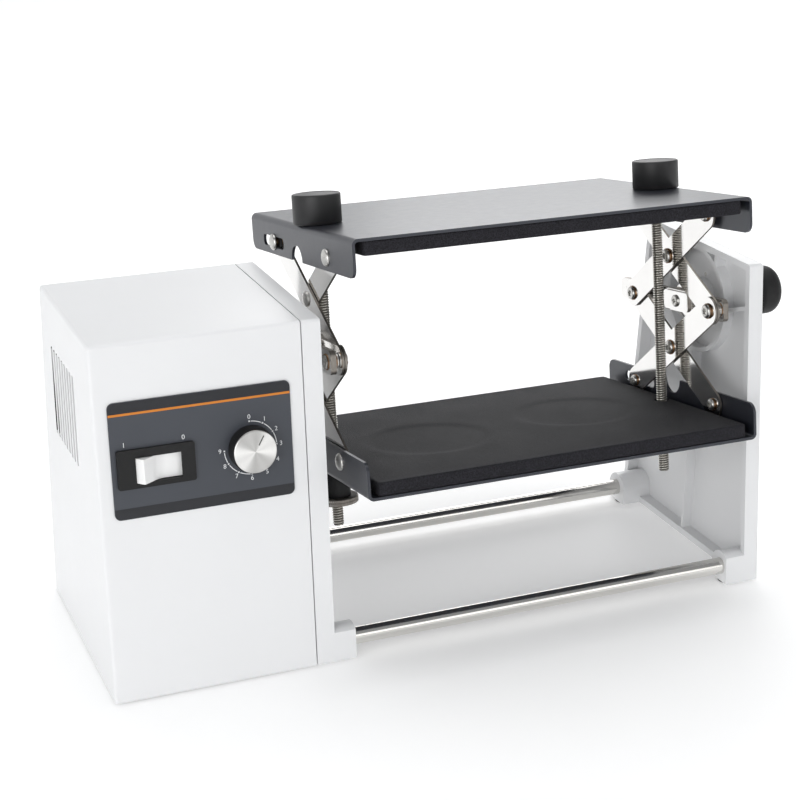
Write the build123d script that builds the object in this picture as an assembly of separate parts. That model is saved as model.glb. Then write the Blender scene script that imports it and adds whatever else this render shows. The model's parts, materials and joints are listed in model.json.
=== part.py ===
"""Overhead shaker: a drive housing and an end frame carry a carriage that turns end over end.

The carriage holds vessels between two foam-lined trays. A scissor linkage at each end keeps the
trays parallel and centred on the turning axis, and two knobs on threaded rods draw them together.
Millimetres, +X from the housing to the end frame, +Y to the back, +Z up. The origin is on the
table, under the middle of the whole machine.
"""

import math
import os

from build123d import *

# ---- Driving dimensions: frame ----
frame_height = 236.0
foot_depth = 183.0
side_taper = 21.0
stand_off = 1.5
edge_radius = 2.5
housing_length = 136.5
seam_gap = 0.8
end_plate_thickness = 12.7
end_frame_thickness = 12.0
shell_wall = 2.5
base_thickness = 2.0
fit_gap = 0.3
axis_height = 191.6

# ---- Driving dimensions: tie bars and their bosses ----
bar_radius = 6.0
bar_height = 13.0
front_bar_inset = 9.5
rear_bar_inset = 16.5
boss_radius = 11.5
boss_length = 15.0
bar_seat_depth = 10.0
bar_screw_radius = 3.0
bar_screw_grip = 14.0
bar_screw_head_radius = 5.0
bar_screw_head_height = 5.0

# ---- Driving dimensions: trays and foam ----
tray_length = 288.0
tray_depth = 208.0
tray_sheet = 2.0
tray_bend_radius = 4.0
flange_height = 25.0
flange_corner_radius = 7.0
end_gap = 14.75
foam_thickness = 9.5
foam_end_inset = 7.5
foam_side_inset = 0.5
foam_corner_radius = 3.0

# ---- Driving dimensions: scissor linkage ----
arm_half_length = 64.0
arm_width = 20.0
arm_sheet = 1.6
rest_angle = 32.0
closed_angle = 14.0
open_angle = 36.5
rest_tilt = -9.13
flange_to_arm_gap = 0.6
arm_gap = 0.4
pivot_radius = 3.0
pivot_clearance = 0.05
pin_head_radius = 5.5
tray_nut_radius = 4.5
pin_head_height = 2.6
bolt_below_tray_face = 16.2
bolt_head_radius = 5.8
bolt_head_height = 2.8
slot_clearance = 0.3
tray_slot_length = 45.0
notch_radius = 11.0
notch_offset = 6.0

# ---- Driving dimensions: hub bars ----
hub_bar_sheet = 4.0
hub_bar_width = 16.0
hub_bar_rear_reach = 85.0
hub_bar_front_margin = 9.0
hub_bar_inset = 1.0
hub_bar_corner_radius = 4.0
clamp_plate_length = 34.0
clamp_plate_width = 14.0
clamp_plate_sheet = 1.5
hub_screw_radius = 2.5
hub_screw_head_radius = 4.5
hub_screw_head_height = 1.6

# ---- Driving dimensions: threaded rods ----
rod_radius = 4.0
rod_end_inset = 14.5
rod_clearance = 0.1
rod_hole_clearance = 0.5
rod_tail = 16.5
foam_hole_radius = 5.5
knob_radius = 16.5
knob_height = 20.0
knob_edge_radius = 1.2
rod_in_knob = 14.0
sleeve_radius = 10.0
sleeve_height = 21.0
disc_radius = 15.0
disc_height = 5.0

# ---- Driving dimensions: drive ----
shaft_radius = 6.0
stub_radius = 4.0
hub_flange_radius = 12.0
hub_flange_height = 4.0
bearing_radius = 14.0
bearing_width = 8.0
bearing_seat_wall = 4.0
bracket_sheet = 4.0
bracket_width = 80.0
bracket_to_plate = 31.0
bracket_foot = 36.0
bracket_above_axis = 26.0
pulley_distance = 95.0
drive_pulley_radius = 30.0
motor_pulley_radius = 10.0
pulley_width = 12.0
pulley_rim = 2.0
pulley_rim_height = 3.5
belt_sheet = 1.8
belt_clearance = 0.2
gearbox_length = 42.0
gearbox_side = 60.0
motor_radius = 26.0
motor_end_gap = 10.0
motor_shaft_radius = 4.0
drive_screw_radius = 2.0

# ---- Driving dimensions: locking pin on the right ----
lock_pin_radius = 5.0
lock_pin_travel = 12.0
lock_pin_entry = 6.0
lock_tail_radius = 3.0
lock_collar_radius = 8.0
lock_collar_height = 3.0
guide_radius = 13.0
guide_flange_radius = 22.0
guide_flange_height = 4.0
guide_reach = 31.5
guide_end_wall = 4.0
guide_nose_radius = 8.0
guide_nose_setback = 2.5
spring_radius = 6.4
spring_wire_radius = 0.7
spring_turns = 6
socket_radius = 9.0
socket_floor = 1.75
pull_knob_radius = 18.0
pull_knob_length = 22.0
pull_knob_gap = 2.5
pull_knob_dome = 8.0

# ---- Driving dimensions: ribs of the end frame and end plate ----
web_thickness = 3.0
rim_width = 5.0
ring_radius = 40.0
ring_wall = 3.0
rib_offset = 24.0
hub_boss_radius = 15.0
plate_lip_height = 6.0
plate_lip_wall = 3.0
plate_recess = 6.5

# ---- Driving dimensions: control panel ----
panel_left_margin = 9.2
panel_right_margin = 9.3
panel_top_margin = 36.6
panel_height = 76.0
panel_sheet = 1.0
panel_corner_radius = 4.0
bezel_left = 12.4
bezel_top = 30.6
bezel_width = 50.0
bezel_height = 25.4
bezel_thickness = 2.2
switch_body_width = 44.0
switch_body_height = 20.0
switch_body_depth = 30.0
rocker_ridge_reach = 13.6
rocker_ridge_height = 8.1
rocker_valley_height = 3.4
rocker_valley_radius = 12.0
rocker_height = 16.0
rocker_pivot_depth = 3.7
rocker_floor = 7.0
rocker_pin_radius = 2.0
rocker_half_travel = 18.0
rocker_clearance = 0.3
dial_right = 37.3
dial_drop = 40.9
dial_radius = 15.0
dial_cap_radius = 14.1
dial_height = 9.6
dial_cap_sheet = 0.9
dial_gap = 0.4
pot_radius = 12.0
pot_depth = 10.0
pot_bush_radius = 4.5
pot_shaft_radius = 3.0
pot_shaft_in_dial = 6.0

# ---- Driving dimensions: vents, inlet, board, feet ----
vent_count = 9
vent_pitch = 7.8
vent_width = 4.4
vent_length = 62.0
vent_top_margin = 34.3
vent_shift = 9.2
inlet_from_left = 40.0
inlet_height = 44.0
inlet_flange_width = 50.0
inlet_flange_height = 23.0
inlet_flange_sheet = 3.0
inlet_body_width = 27.0
inlet_body_height = 19.5
inlet_body_depth = 22.0
inlet_cavity_depth = 16.0
inlet_pin_length = 9.0
inlet_screw_reach = 20.0
inlet_screw_grip = 5.0
board_length = 84.0
board_depth = 40.0
board_sheet = 1.6
board_height = 16.0
board_left = 14.0
standoff_radius = 3.0
post_radius = 4.5
post_height = 12.0
post_inset = 9.0
post_screw_radius = 1.6
foot_pad_radius = 7.0

# ---- Derived places along X ----
span = tray_length + 2 * end_gap
left_unit_length = housing_length + seam_gap + end_plate_thickness
guide_end = guide_flange_height + guide_reach - guide_flange_height
knob_reach = guide_end + pull_knob_gap + pull_knob_length
overall_length = left_unit_length + span + end_frame_thickness + knob_reach
left_x = -overall_length / 2
shell_right_x = left_x + housing_length
plate_left_x = shell_right_x + seam_gap
plate_right_x = left_x + left_unit_length
frame_left_x = plate_right_x + span
frame_right_x = frame_left_x + end_frame_thickness
tray_mid_x = (plate_right_x + frame_left_x) / 2
front_bar_y = -foot_depth / 2 + front_bar_inset
rear_bar_y = foot_depth / 2 - rear_bar_inset
taper_slope = side_taper / frame_height

# ---- Derived places in the carriage, measured from its axis ----
rest_radians = math.radians(rest_angle)
pivot_reach = arm_half_length * math.cos(rest_radians)
pivot_rise = arm_half_length * math.sin(rest_radians)
tray_face = 2 * pivot_rise + bolt_below_tray_face
foam_face = tray_face - tray_sheet - foam_thickness
layer_start = {
    "outer": tray_sheet + flange_to_arm_gap,
    "inner": tray_sheet + flange_to_arm_gap + arm_sheet + arm_gap,
}
arm_stack_end = layer_start["inner"] + arm_sheet
hub_bar_outer_inset = -(hub_bar_inset + hub_bar_sheet)
carriage_place = Pos(0, 0, axis_height) * Rot(rest_tilt, 0, 0)


def rear_reach(angle):
    """Distance from the axis back to the sliding side pivot, with the arms at this angle."""
    return 2 * arm_half_length * math.cos(math.radians(angle)) - pivot_reach


# ---- Small helpers ----
def block(x0, x1, y0, y1, z0, z1):
    return Pos((x0 + x1) / 2, (y0 + y1) / 2, (z0 + z1) / 2) * Box(x1 - x0, y1 - y0, z1 - z0)


def rod_x(radius, x0, x1, y=0.0, z=0.0):
    """Cylinder along X between two places."""
    return Pos((x0 + x1) / 2, y, z) * Rot(0, 90, 0) * Cylinder(radius, abs(x1 - x0))


def rod_z(radius, z0, z1, x=0.0, y=0.0):
    return Pos(x, y, (z0 + z1) / 2) * Cylinder(radius, abs(z1 - z0))


def plate_x(sketch, x0, x1):
    """A YZ sketch made into a plate between two places along X."""
    return extrude(Plane.YZ.offset(min(x0, x1)) * sketch, amount=abs(x1 - x0))


def side_outline(inset, bottom, top, corner):
    """Trapezoid of the frame's side view, drawn in by an inset."""
    low_half = foot_depth / 2 - taper_slope * bottom - inset
    high_half = foot_depth / 2 - taper_slope * top - inset
    corners = [(-low_half, bottom), (low_half, bottom), (high_half, top), (-high_half, top)]
    face = make_face(Polyline(*corners, close=True))
    if corner > 0:
        face = fillet(face.vertices().sort_by(Axis.Y)[-2:], corner)
    return face


def end_x(side, inset):
    """Place along X measured inward from a tray's end; side is -1 at the left and 1 at the right."""
    return tray_mid_x + side * (tray_length / 2 - inset)


def both_ends(make):
    """The same piece at both ends of the carriage, set into its resting tilt."""
    return [carriage_place * make(side) for side in (-1, 1)]


def front_place(along, up, out=0.0):
    """Place on the sloped front wall: from the left face, up the slope, outward."""
    slope = math.atan(taper_slope)
    plane = Plane(origin=(left_x, -foot_depth / 2, 0), x_dir=(1, 0, 0),
                  z_dir=(0, -math.cos(slope), math.sin(slope)))
    return plane.location * Pos(along, up, out)


def rear_place(along, up, out=0.0):
    """Place on the sloped rear wall, seen from behind: leftward from the left face is negative."""
    slope = math.atan(taper_slope)
    plane = Plane(origin=(left_x, foot_depth / 2, 0), x_dir=(-1, 0, 0),
                  z_dir=(0, math.cos(slope), math.sin(slope)))
    return plane.location * Pos(-along, up, out)


# ---- Control panel layout on the front wall ----
panel_width = housing_length - panel_left_margin - panel_right_margin
panel_top = (frame_height - panel_top_margin) / math.cos(math.atan(taper_slope))
panel_centre = (panel_left_margin + panel_width / 2, panel_top - panel_height / 2)
bezel_centre = (bezel_left + bezel_width / 2, panel_top - bezel_top - bezel_height / 2)
rocker_centre = (bezel_centre[0] + 1.3, bezel_centre[1] - 1.2)
rocker_swing_radius = math.hypot(rocker_ridge_reach, rocker_ridge_height)
dial_centre = (housing_length - dial_right, panel_top - dial_drop)


# ---- Fixed frame ----
def tie_boss(face_x, side, bar_y, reach=boss_length):
    """Foot boss that holds one end of a tie bar; side is the way it stands out of its plate."""
    tip_x = face_x + side * reach
    low = (bar_height + stand_off) / 2
    width = 2 * boss_radius
    foot = Pos(bar_y, low) * Rectangle(width, bar_height - stand_off)
    return plate_x(foot + Pos(bar_y, bar_height) * Circle(boss_radius), face_x, tip_x)


def foot_region(x0, x1):
    """The space that the bosses may fill: inside the frame's side outline."""
    return plate_x(side_outline(0, stand_off, frame_height, 0), x0, x1)


def bar_seat(face_x, side, bar_y):
    tip_x = face_x + side * (boss_length + 1)
    seat_x = face_x + side * (boss_length - bar_seat_depth)
    return rod_x(bar_radius + pivot_clearance, seat_x, tip_x, bar_y, bar_height)


def make_housing_shell():
    outer = plate_x(side_outline(0, stand_off, frame_height, edge_radius), left_x, shell_right_x)
    left_edges = outer.faces().sort_by(Axis.X)[0].edges()
    outer = fillet(left_edges.filter_by(lambda e: e.center().Z > 2 * stand_off), edge_radius * 0.9)
    cavity_top = frame_height - shell_wall
    cavity = plate_x(side_outline(shell_wall, -1, cavity_top, 1.0), left_x + shell_wall, shell_right_x + 1)
    shell = outer - cavity
    for index in range(vent_count):
        vent_y = vent_shift + (index - (vent_count - 1) / 2) * vent_pitch
        vent_z = frame_height - vent_top_margin - vent_length / 2
        vent = Pos(vent_y, vent_z) * SlotOverall(vent_length, vent_width, rotation=90)
        shell -= plate_x(vent, left_x - 1, left_x + shell_wall + 1)
    for post_x, post_y in post_places():
        post_top = stand_off + base_thickness + fit_gap + post_height
        shell += rod_z(post_radius, stand_off + base_thickness + fit_gap, post_top, post_x, post_y)
        shell -= rod_z(post_screw_radius, stand_off, post_top - 2, post_x, post_y)
    opening = Box(switch_body_width + fit_gap, switch_body_height + fit_gap, 4 * shell_wall)
    shell -= front_place(*bezel_centre) * opening
    shell -= front_place(*dial_centre) * Cylinder(pot_bush_radius + fit_gap, 4 * shell_wall)
    inlet_hole = Box(inlet_body_width + fit_gap, inlet_body_height + fit_gap, 4 * shell_wall)
    for x in (-inlet_screw_reach, inlet_screw_reach):
        inlet_hole += Pos(x, 0, 0) * Cylinder(post_screw_radius, 4 * shell_wall)
    return shell - rear_place(inlet_from_left, inlet_height) * inlet_hole


def post_places():
    side = foot_depth / 2 - shell_wall - post_radius + 0.5
    near = left_x + shell_wall + post_radius - 1
    far = shell_right_x - plate_lip_height - post_inset
    return [(x, y) for x in (near, far) for y in (-side, side)]


def make_base_plate():
    inset = shell_wall + fit_gap
    right = shell_right_x - plate_lip_height - 2 * fit_gap
    low_half = foot_depth / 2 - taper_slope * (stand_off + base_thickness) - inset
    plate = block(left_x + inset, right, -low_half, low_half, stand_off, stand_off + base_thickness)
    for post_x, post_y in post_places():
        plate -= rod_z(post_screw_radius + fit_gap, 0, 2 * base_thickness + stand_off, post_x, post_y)
    return plate


def make_housing_screws():
    screws = []
    for post_x, post_y in post_places():
        head = rod_z(2.8, stand_off - 1.2, stand_off, post_x, post_y)
        shank_top = stand_off + base_thickness + fit_gap + post_height - 3
        screws.append(head + rod_z(post_screw_radius, stand_off, shank_top, post_x, post_y))
    low = inlet_flange_sheet - inlet_screw_grip - shell_wall
    for x in (-inlet_screw_reach, inlet_screw_reach):
        head = Pos(x, 0, inlet_flange_sheet + 0.6) * Cylinder(2.8, 1.2)
        shank = Cylinder(post_screw_radius, inlet_flange_sheet - low)
        shank = Pos(x, 0, (low + inlet_flange_sheet) / 2) * shank
        screws.append(rear_place(inlet_from_left, inlet_height) * (head + shank))
    return screws


def make_end_plate():
    plate = plate_x(side_outline(0, stand_off, frame_height, edge_radius), plate_left_x, plate_right_x)
    for bar_y in (front_bar_y, rear_bar_y):
        boss = tie_boss(plate_right_x, 1, bar_y)
        plate += boss & foot_region(plate_right_x, plate_right_x + boss_length)
    recess_top = frame_height - rim_width
    recess_face = side_outline(rim_width, stand_off + rim_width, recess_top, 1.0)
    for bar_y in (front_bar_y, rear_bar_y):
        recess_face -= Pos(bar_y, bar_height) * Rectangle(2 * boss_radius + 6, 2 * boss_radius + 8)
    floor_x = plate_left_x + plate_recess
    plate -= plate_x(recess_face, plate_left_x - 1, floor_x)
    lip_outer = side_outline(shell_wall + fit_gap, stand_off + 4, frame_height - shell_wall - fit_gap, 1.0)
    lip_inset = shell_wall + fit_gap + plate_lip_wall
    lip_top = frame_height - lip_inset
    lip_inner = side_outline(lip_inset, stand_off + 4 + plate_lip_wall, lip_top, 1.0)
    lip_left_x = shell_right_x - plate_lip_height
    plate += plate_x(lip_outer - lip_inner, lip_left_x, plate_left_x)
    seat_left = plate_seat_x() - bearing_width
    seat_radius = bearing_radius + bearing_seat_wall
    plate += rod_x(seat_radius, seat_left, floor_x, 0, axis_height)
    plate -= rod_x(bearing_radius, seat_left - 1, plate_seat_x(), 0, axis_height)
    plate -= rod_x(shaft_radius + 1.5, plate_seat_x() - 1, plate_right_x + 1, 0, axis_height)
    collar = Pos(0, axis_height) * (Circle(hub_boss_radius + 6) - Circle(hub_boss_radius))
    plate += plate_x(collar, plate_right_x, plate_right_x + 1.5)
    for bar_y in (front_bar_y, rear_bar_y):
        plate -= bar_seat(plate_right_x, 1, bar_y)
        screw_x = plate_right_x + boss_length - bar_seat_depth
        plate -= rod_x(bar_screw_radius + fit_gap, plate_left_x - 1, screw_x + 1, bar_y, bar_height)
        head_x = plate_left_x + bar_screw_head_height
        plate -= rod_x(bar_screw_head_radius + fit_gap, plate_left_x - 1, head_x, bar_y, bar_height)
    return plate


def plate_seat_x():
    """Right end of the bearing in the end plate."""
    return plate_right_x - 3.7


def make_end_frame():
    frame = plate_x(side_outline(0, stand_off, frame_height, edge_radius), frame_left_x, frame_right_x)
    outer_edges = frame.faces().sort_by(Axis.X)[-1].edges()
    frame = fillet(outer_edges, edge_radius * 0.9)
    web_x = frame_right_x - web_thickness
    recess_top = frame_height - rim_width
    recess_face = side_outline(rim_width, stand_off + rim_width, recess_top, 2.0)
    frame -= plate_x(recess_face, frame_left_x - 1, web_x)
    ring = Pos(0, axis_height) * (Circle(ring_radius) - Circle(ring_radius - ring_wall))
    ribs = make_ribs()
    ring_face = (ring + ribs) & recess_face
    frame += plate_x(ring_face, frame_left_x + 1.5, web_x)
    frame += rod_x(hub_boss_radius, guide_nose_x(), web_x, 0, axis_height)
    for bar_y in (front_bar_y, rear_bar_y):
        reach = boss_length + end_frame_thickness - web_thickness
        frame += tie_boss(web_x, -1, bar_y, reach) & foot_region(web_x - reach, web_x)
    frame -= rod_x(guide_nose_radius, guide_nose_x() - 1, frame_right_x + 1, 0, axis_height)
    for bar_y in (front_bar_y, rear_bar_y):
        frame -= bar_seat(frame_left_x, -1, bar_y)
        screw_x = frame_left_x - boss_length + bar_seat_depth
        frame -= rod_x(bar_screw_radius + fit_gap, screw_x - 1, frame_right_x + 1, bar_y, bar_height)
        head_x = frame_right_x - bar_screw_head_height - 1
        frame -= rod_x(bar_screw_head_radius + fit_gap, head_x, frame_right_x + 1, bar_y, bar_height)
    for angle in guide_screw_angles():
        frame -= rod_x(1.6, frame_left_x, frame_right_x + 1, *guide_screw_place(angle))
    return frame


def make_ribs():
    """Two upright ribs from the ring to the top rim, one down to the foot and two slanted ones."""
    top = frame_height - axis_height
    ribs = Sketch()
    for sign in (-1, 1):
        low = math.sqrt(ring_radius ** 2 - rib_offset ** 2) - ring_wall / 2
        mid = axis_height + (low + top) / 2
        ribs += Pos(sign * rib_offset, mid) * Rectangle(ring_wall, top - low)
        ribs += Pos(sign * 62, axis_height + 10) * Rectangle(48, ring_wall, rotation=sign * 20)
    foot = axis_height - ring_radius + ring_wall / 2
    return ribs + Pos(0, foot / 2) * Rectangle(ring_wall, foot)


def make_tie_bars():
    left_end = plate_right_x + boss_length - bar_seat_depth
    right_end = frame_left_x - boss_length + bar_seat_depth
    bars = []
    for bar_y in (front_bar_y, rear_bar_y):
        bar = chamfer(rod_x(bar_radius, left_end, right_end, bar_y, bar_height).edges(), 0.6)
        for end, side in ((left_end, 1), (right_end, -1)):
            bar -= rod_x(bar_screw_radius, end, end + side * (bar_screw_grip + 2), bar_y, bar_height)
        bars.append(bar)
    return bars


def make_tie_bar_screws():
    screws = []
    left_end = plate_right_x + boss_length - bar_seat_depth
    right_end = frame_left_x - boss_length + bar_seat_depth
    for bar_y in (front_bar_y, rear_bar_y):
        seats = ((plate_left_x + bar_screw_head_height, left_end, 1),
                 (frame_right_x - bar_screw_head_height - 1, right_end, -1))
        for seat, bar_end, side in seats:
            head = rod_x(bar_screw_head_radius, seat - side * (bar_screw_head_height - 0.5), seat,
                         bar_y, bar_height)
            tip = bar_end + side * bar_screw_grip
            shank = rod_x(bar_screw_radius, seat, tip, bar_y, bar_height)
            socket_x = seat - side * (bar_screw_head_height - 0.5)
            hexagon = Pos(bar_y, bar_height) * RegularPolygon(2.9, 6)
            socket = plate_x(hexagon, socket_x, socket_x + side * 2.5)
            screws.append(head + shank - socket)
    return screws


def make_foot_pads():
    left_edge = left_x + shell_wall + foot_pad_radius + 10
    boss_mid = boss_length / 2
    places = [(left_edge, front_bar_y + 12), (left_edge, rear_bar_y - 6)]
    for x in (plate_right_x + boss_mid, frame_left_x - boss_mid):
        places += [(x, front_bar_y + 1), (x, rear_bar_y)]
    pads = []
    for x, y in places:
        pads.append(rod_z(foot_pad_radius, 0, stand_off, x, y))
    return pads


# ---- Control panel ----
def make_control_panel():
    film = RectangleRounded(panel_width, panel_height, panel_corner_radius)
    film = front_place(*panel_centre) * extrude(film, amount=panel_sheet)
    opening = Box(switch_body_width + fit_gap, switch_body_height + fit_gap, 6)
    film -= front_place(*bezel_centre) * opening
    return film - front_place(*dial_centre) * Cylinder(pot_bush_radius + fit_gap, 6)


def rocker_pivot():
    """Local place of the rocker's pivot on the front wall."""
    return front_place(*rocker_centre, -rocker_pivot_depth)


def make_switch_body():
    bezel = extrude(RectangleRounded(bezel_width, bezel_height, 1.5), amount=bezel_thickness)
    bezel = Pos(0, 0, panel_sheet) * bezel
    depth = switch_body_depth + panel_sheet
    body = Pos(0, 0, panel_sheet - depth / 2) * Box(switch_body_width, switch_body_height, depth)
    switch = front_place(*bezel_centre) * (bezel + body)
    well_radius = rocker_swing_radius + rocker_clearance
    well = Rot(90, 0, 0) * Cylinder(well_radius, rocker_height + 2 * rocker_clearance)
    switch -= rocker_pivot() * well
    pin = Rot(90, 0, 0) * Cylinder(rocker_pin_radius + pivot_clearance, rocker_height + 1.2)
    return switch - rocker_pivot() * pin


def make_switch_rocker():
    """Two flat halves that meet in a rounded valley; the ends follow the swing circle."""
    low = -rocker_floor
    wide = 2 * rocker_ridge_reach
    high = 2 * rocker_ridge_height - rocker_valley_height
    corners = [(-wide, low), (wide, low), (wide, high), (0, rocker_valley_height), (-wide, high)]
    face = make_face(Polyline(*corners, close=True))
    valley = face.vertices().sort_by_distance((0, rocker_valley_height, 0))[0]
    face = fillet(valley, rocker_valley_radius) & Circle(rocker_swing_radius)
    paddle = extrude(Plane.XZ * face, amount=rocker_height / 2, both=True)
    paddle += Rot(90, 0, 0) * Cylinder(rocker_pin_radius, rocker_height + 1)
    return rocker_pivot() * Rot(0, rocker_half_travel, 0) * paddle


def make_dial_body():
    body = Cone(dial_radius, dial_radius - 0.4, dial_height)
    body = fillet(body.edges().sort_by(Axis.Z)[-1], 0.3)
    base = panel_sheet + dial_gap
    body = Pos(0, 0, base + dial_height / 2) * body
    bush_room = Cylinder(pot_bush_radius + fit_gap, 2 * dial_gap + 2)
    body -= Pos(0, 0, base) * bush_room
    bore = Cylinder(pot_shaft_radius, 2 * pot_shaft_in_dial)
    return front_place(*dial_centre) * (body - Pos(0, 0, base) * bore)


def make_dial_cap():
    base = panel_sheet + dial_gap + dial_height
    disc = Cylinder(dial_cap_radius, dial_cap_sheet)
    disc = chamfer(disc.edges().sort_by(Axis.Z)[-1], 0.4)
    return front_place(*dial_centre, base + dial_cap_sheet / 2) * disc


def make_potentiometer():
    body = Pos(0, 0, -shell_wall - pot_depth / 2) * Cylinder(pot_radius, pot_depth)
    bush_top = panel_sheet + dial_gap / 2
    bush_height = shell_wall + bush_top
    body += Pos(0, 0, bush_top - bush_height / 2) * Cylinder(pot_bush_radius, bush_height)
    bore = Cylinder(pot_shaft_radius + pivot_clearance, 4 * (shell_wall + pot_depth))
    legs = Pos(0, -pot_radius - 2, -shell_wall - pot_depth + 2) * Box(12, 7, 1)
    return front_place(*dial_centre) * (body + legs - bore)


def make_pot_shaft():
    top = panel_sheet + dial_gap + pot_shaft_in_dial
    low = -shell_wall - pot_depth + 1
    shaft = Pos(0, 0, (top + low) / 2) * Cylinder(pot_shaft_radius, top - low)
    return front_place(*dial_centre) * shaft


# ---- Electrics in the housing ----
def board_places():
    mid_x = left_x + board_left + board_length / 2
    for dx in (-board_length / 2 + 5, board_length / 2 - 5):
        for dy in (-board_depth / 2 + 3.5, board_depth / 2 - 3.5):
            yield mid_x + dx, board_y() + dy


def board_y():
    return -foot_depth / 2 + shell_wall + board_depth / 2 + 5


def make_circuit_board():
    mid_x = left_x + board_left + board_length / 2
    board = Box(board_length, board_depth, board_sheet)
    board = Pos(mid_x, board_y(), board_height + board_sheet / 2) * board
    for x, y in board_places():
        board -= rod_z(1.6, board_height - 1, board_height + board_sheet + 1, x, y)
    return board


def make_standoffs():
    floor = stand_off + base_thickness
    posts = []
    for x, y in board_places():
        posts.append(rod_z(standoff_radius, floor, board_height, x, y)
                     + rod_z(1.5, board_height, board_height + board_sheet + 2, x, y))
    return posts


def make_board_parts():
    top = board_height + board_sheet
    mid_x = left_x + board_left + board_length / 2
    transformer = block(mid_x - 32, mid_x - 8, board_y() - 14, board_y() + 14, top, top + 24)
    capacitors = [rod_z(5, top, top + 16, mid_x + dx, board_y() + 10) for dx in (1, 13)]
    heat_sink = block(mid_x + 22, mid_x + 32, board_y() - 15, board_y() + 12, top, top + 22)
    for slot in range(4):
        slot_y = board_y() - 12 + slot * 6.2
        heat_sink -= block(mid_x + 25, mid_x + 35, slot_y, slot_y + 3.2, top + 4, top + 23)
    connector = block(mid_x - 4, mid_x + 16, board_y() - 17, board_y() - 8, top, top + 9)
    return [transformer, *capacitors, heat_sink, connector]


def make_power_inlet():
    flange = extrude(RectangleRounded(inlet_flange_width, inlet_flange_height, 4), amount=inlet_flange_sheet)
    body = Pos(0, 0, -inlet_body_depth / 2) * Box(inlet_body_width, inlet_body_height, inlet_body_depth)
    cavity_face = Polyline((-10.4, -7.4), (10.4, -7.4), (10.4, 3.6), (6.6, 7.4), (-6.6, 7.4), (-10.4, 3.6),
                           close=True)
    cavity = extrude(make_face(cavity_face), amount=inlet_cavity_depth)
    inlet = flange + body - Pos(0, 0, inlet_flange_sheet - inlet_cavity_depth) * cavity
    floor = inlet_flange_sheet - inlet_cavity_depth
    for x, y in ((-7, -2.2), (7, -2.2), (0, 2.4)):
        inlet += Pos(x, y, floor + inlet_pin_length / 2) * Box(4, 2, inlet_pin_length)
    for x in (-inlet_screw_reach, inlet_screw_reach):
        inlet -= Pos(x, 0, 0) * Cylinder(post_screw_radius + fit_gap, 20)
    return rear_place(inlet_from_left, inlet_height) * inlet


# ---- Drive ----
motor_z = axis_height - pulley_distance
bracket_right_x = plate_left_x - bracket_to_plate
bracket_left_x = bracket_right_x - bracket_sheet
pulley_left_x = bracket_right_x + 5.0
pulley_right_x = pulley_left_x + pulley_width
gearbox_left_x = bracket_left_x - gearbox_length


def make_drive_bracket():
    floor = stand_off + base_thickness
    top = axis_height + bracket_above_axis
    half = bracket_width / 2
    upright = block(bracket_left_x, bracket_right_x, -half, half, floor, top)
    foot = block(bracket_left_x - bracket_foot, bracket_left_x, -half, half, floor, floor + bracket_sheet)
    seat_left = bracket_right_x - bearing_width
    seat = rod_x(bearing_radius + bearing_seat_wall, seat_left, bracket_left_x, 0, axis_height)
    bracket = upright + foot + seat
    bracket -= rod_x(bearing_radius, seat_left - 1, bracket_right_x + 1, 0, axis_height)
    bracket -= rod_x(motor_pulley_radius, bracket_left_x - 1, bracket_right_x + 1, 0, motor_z)
    for y, z in gearbox_screw_places():
        bracket -= rod_x(drive_screw_radius, bracket_left_x - 1, bracket_right_x + 1, y, z)
    for x, y in foot_screw_places():
        bracket -= rod_z(drive_screw_radius, floor - 1, floor + bracket_sheet + 1, x, y)
    return bracket


def gearbox_screw_places():
    reach = gearbox_side / 2 - 7
    return [(sy * reach, motor_z + sz * reach) for sy in (-1, 1) for sz in (-1, 1)]


def foot_screw_places():
    mid_x = bracket_left_x - bracket_foot + 9
    return [(mid_x, y) for y in (-bracket_width / 2 + 10, bracket_width / 2 - 10)]


def make_drive_screws():
    screws = []
    for y, z in gearbox_screw_places():
        shank = rod_x(drive_screw_radius, bracket_left_x - 8, bracket_right_x, y, z)
        screws.append(shank + rod_x(3.5, bracket_right_x, bracket_right_x + 2.4, y, z))
    top = stand_off + base_thickness + bracket_sheet
    for x, y in foot_screw_places():
        shank = rod_z(drive_screw_radius, stand_off + base_thickness, top, x, y)
        screws.append(shank + rod_z(3.5, top, top + 2.4, x, y))
    return screws


def make_gearbox():
    half = gearbox_side / 2
    box = block(gearbox_left_x, bracket_left_x, -half, half, motor_z - half, motor_z + half)
    box = chamfer(box.edges().filter_by(Axis.X), 4)
    for y, z in gearbox_screw_places():
        box -= rod_x(drive_screw_radius, bracket_left_x - 8, bracket_left_x + 1, y, z)
    bore_left = bracket_left_x - 20
    return box - rod_x(motor_shaft_radius + pivot_clearance, bore_left, bracket_left_x + 1, 0, motor_z)


def make_motor_can():
    can_left_x = left_x + shell_wall + motor_end_gap
    can = rod_x(motor_radius, can_left_x, gearbox_left_x, 0, motor_z)
    can = fillet(can.edges().sort_by(Axis.X)[0], 3)
    return can + rod_x(6, can_left_x - 4, can_left_x + 1, 0, motor_z)


def make_pulley(radius, bore, z):
    """Toothed-belt pulley with a rim at each side; the belt runs between the rims."""
    pulley = rod_x(radius, pulley_left_x, pulley_right_x, 0, z)
    for x in (pulley_left_x, pulley_right_x - pulley_rim):
        pulley += rod_x(radius + pulley_rim_height, x, x + pulley_rim, 0, z)
    return pulley - rod_x(bore, pulley_left_x - 1, pulley_right_x + 1, 0, z)


def make_drive_pulley():
    pulley = make_pulley(drive_pulley_radius, shaft_radius, axis_height)
    for index in range(5):
        angle = math.radians(72 * index)
        hole_y = 19 * math.cos(angle)
        hole_z = axis_height + 19 * math.sin(angle)
        pulley -= rod_x(5.5, pulley_left_x - 1, pulley_right_x + 1, hole_y, hole_z)
    return pulley


def make_motor_pulley():
    return make_pulley(motor_pulley_radius, motor_shaft_radius, motor_z)


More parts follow.
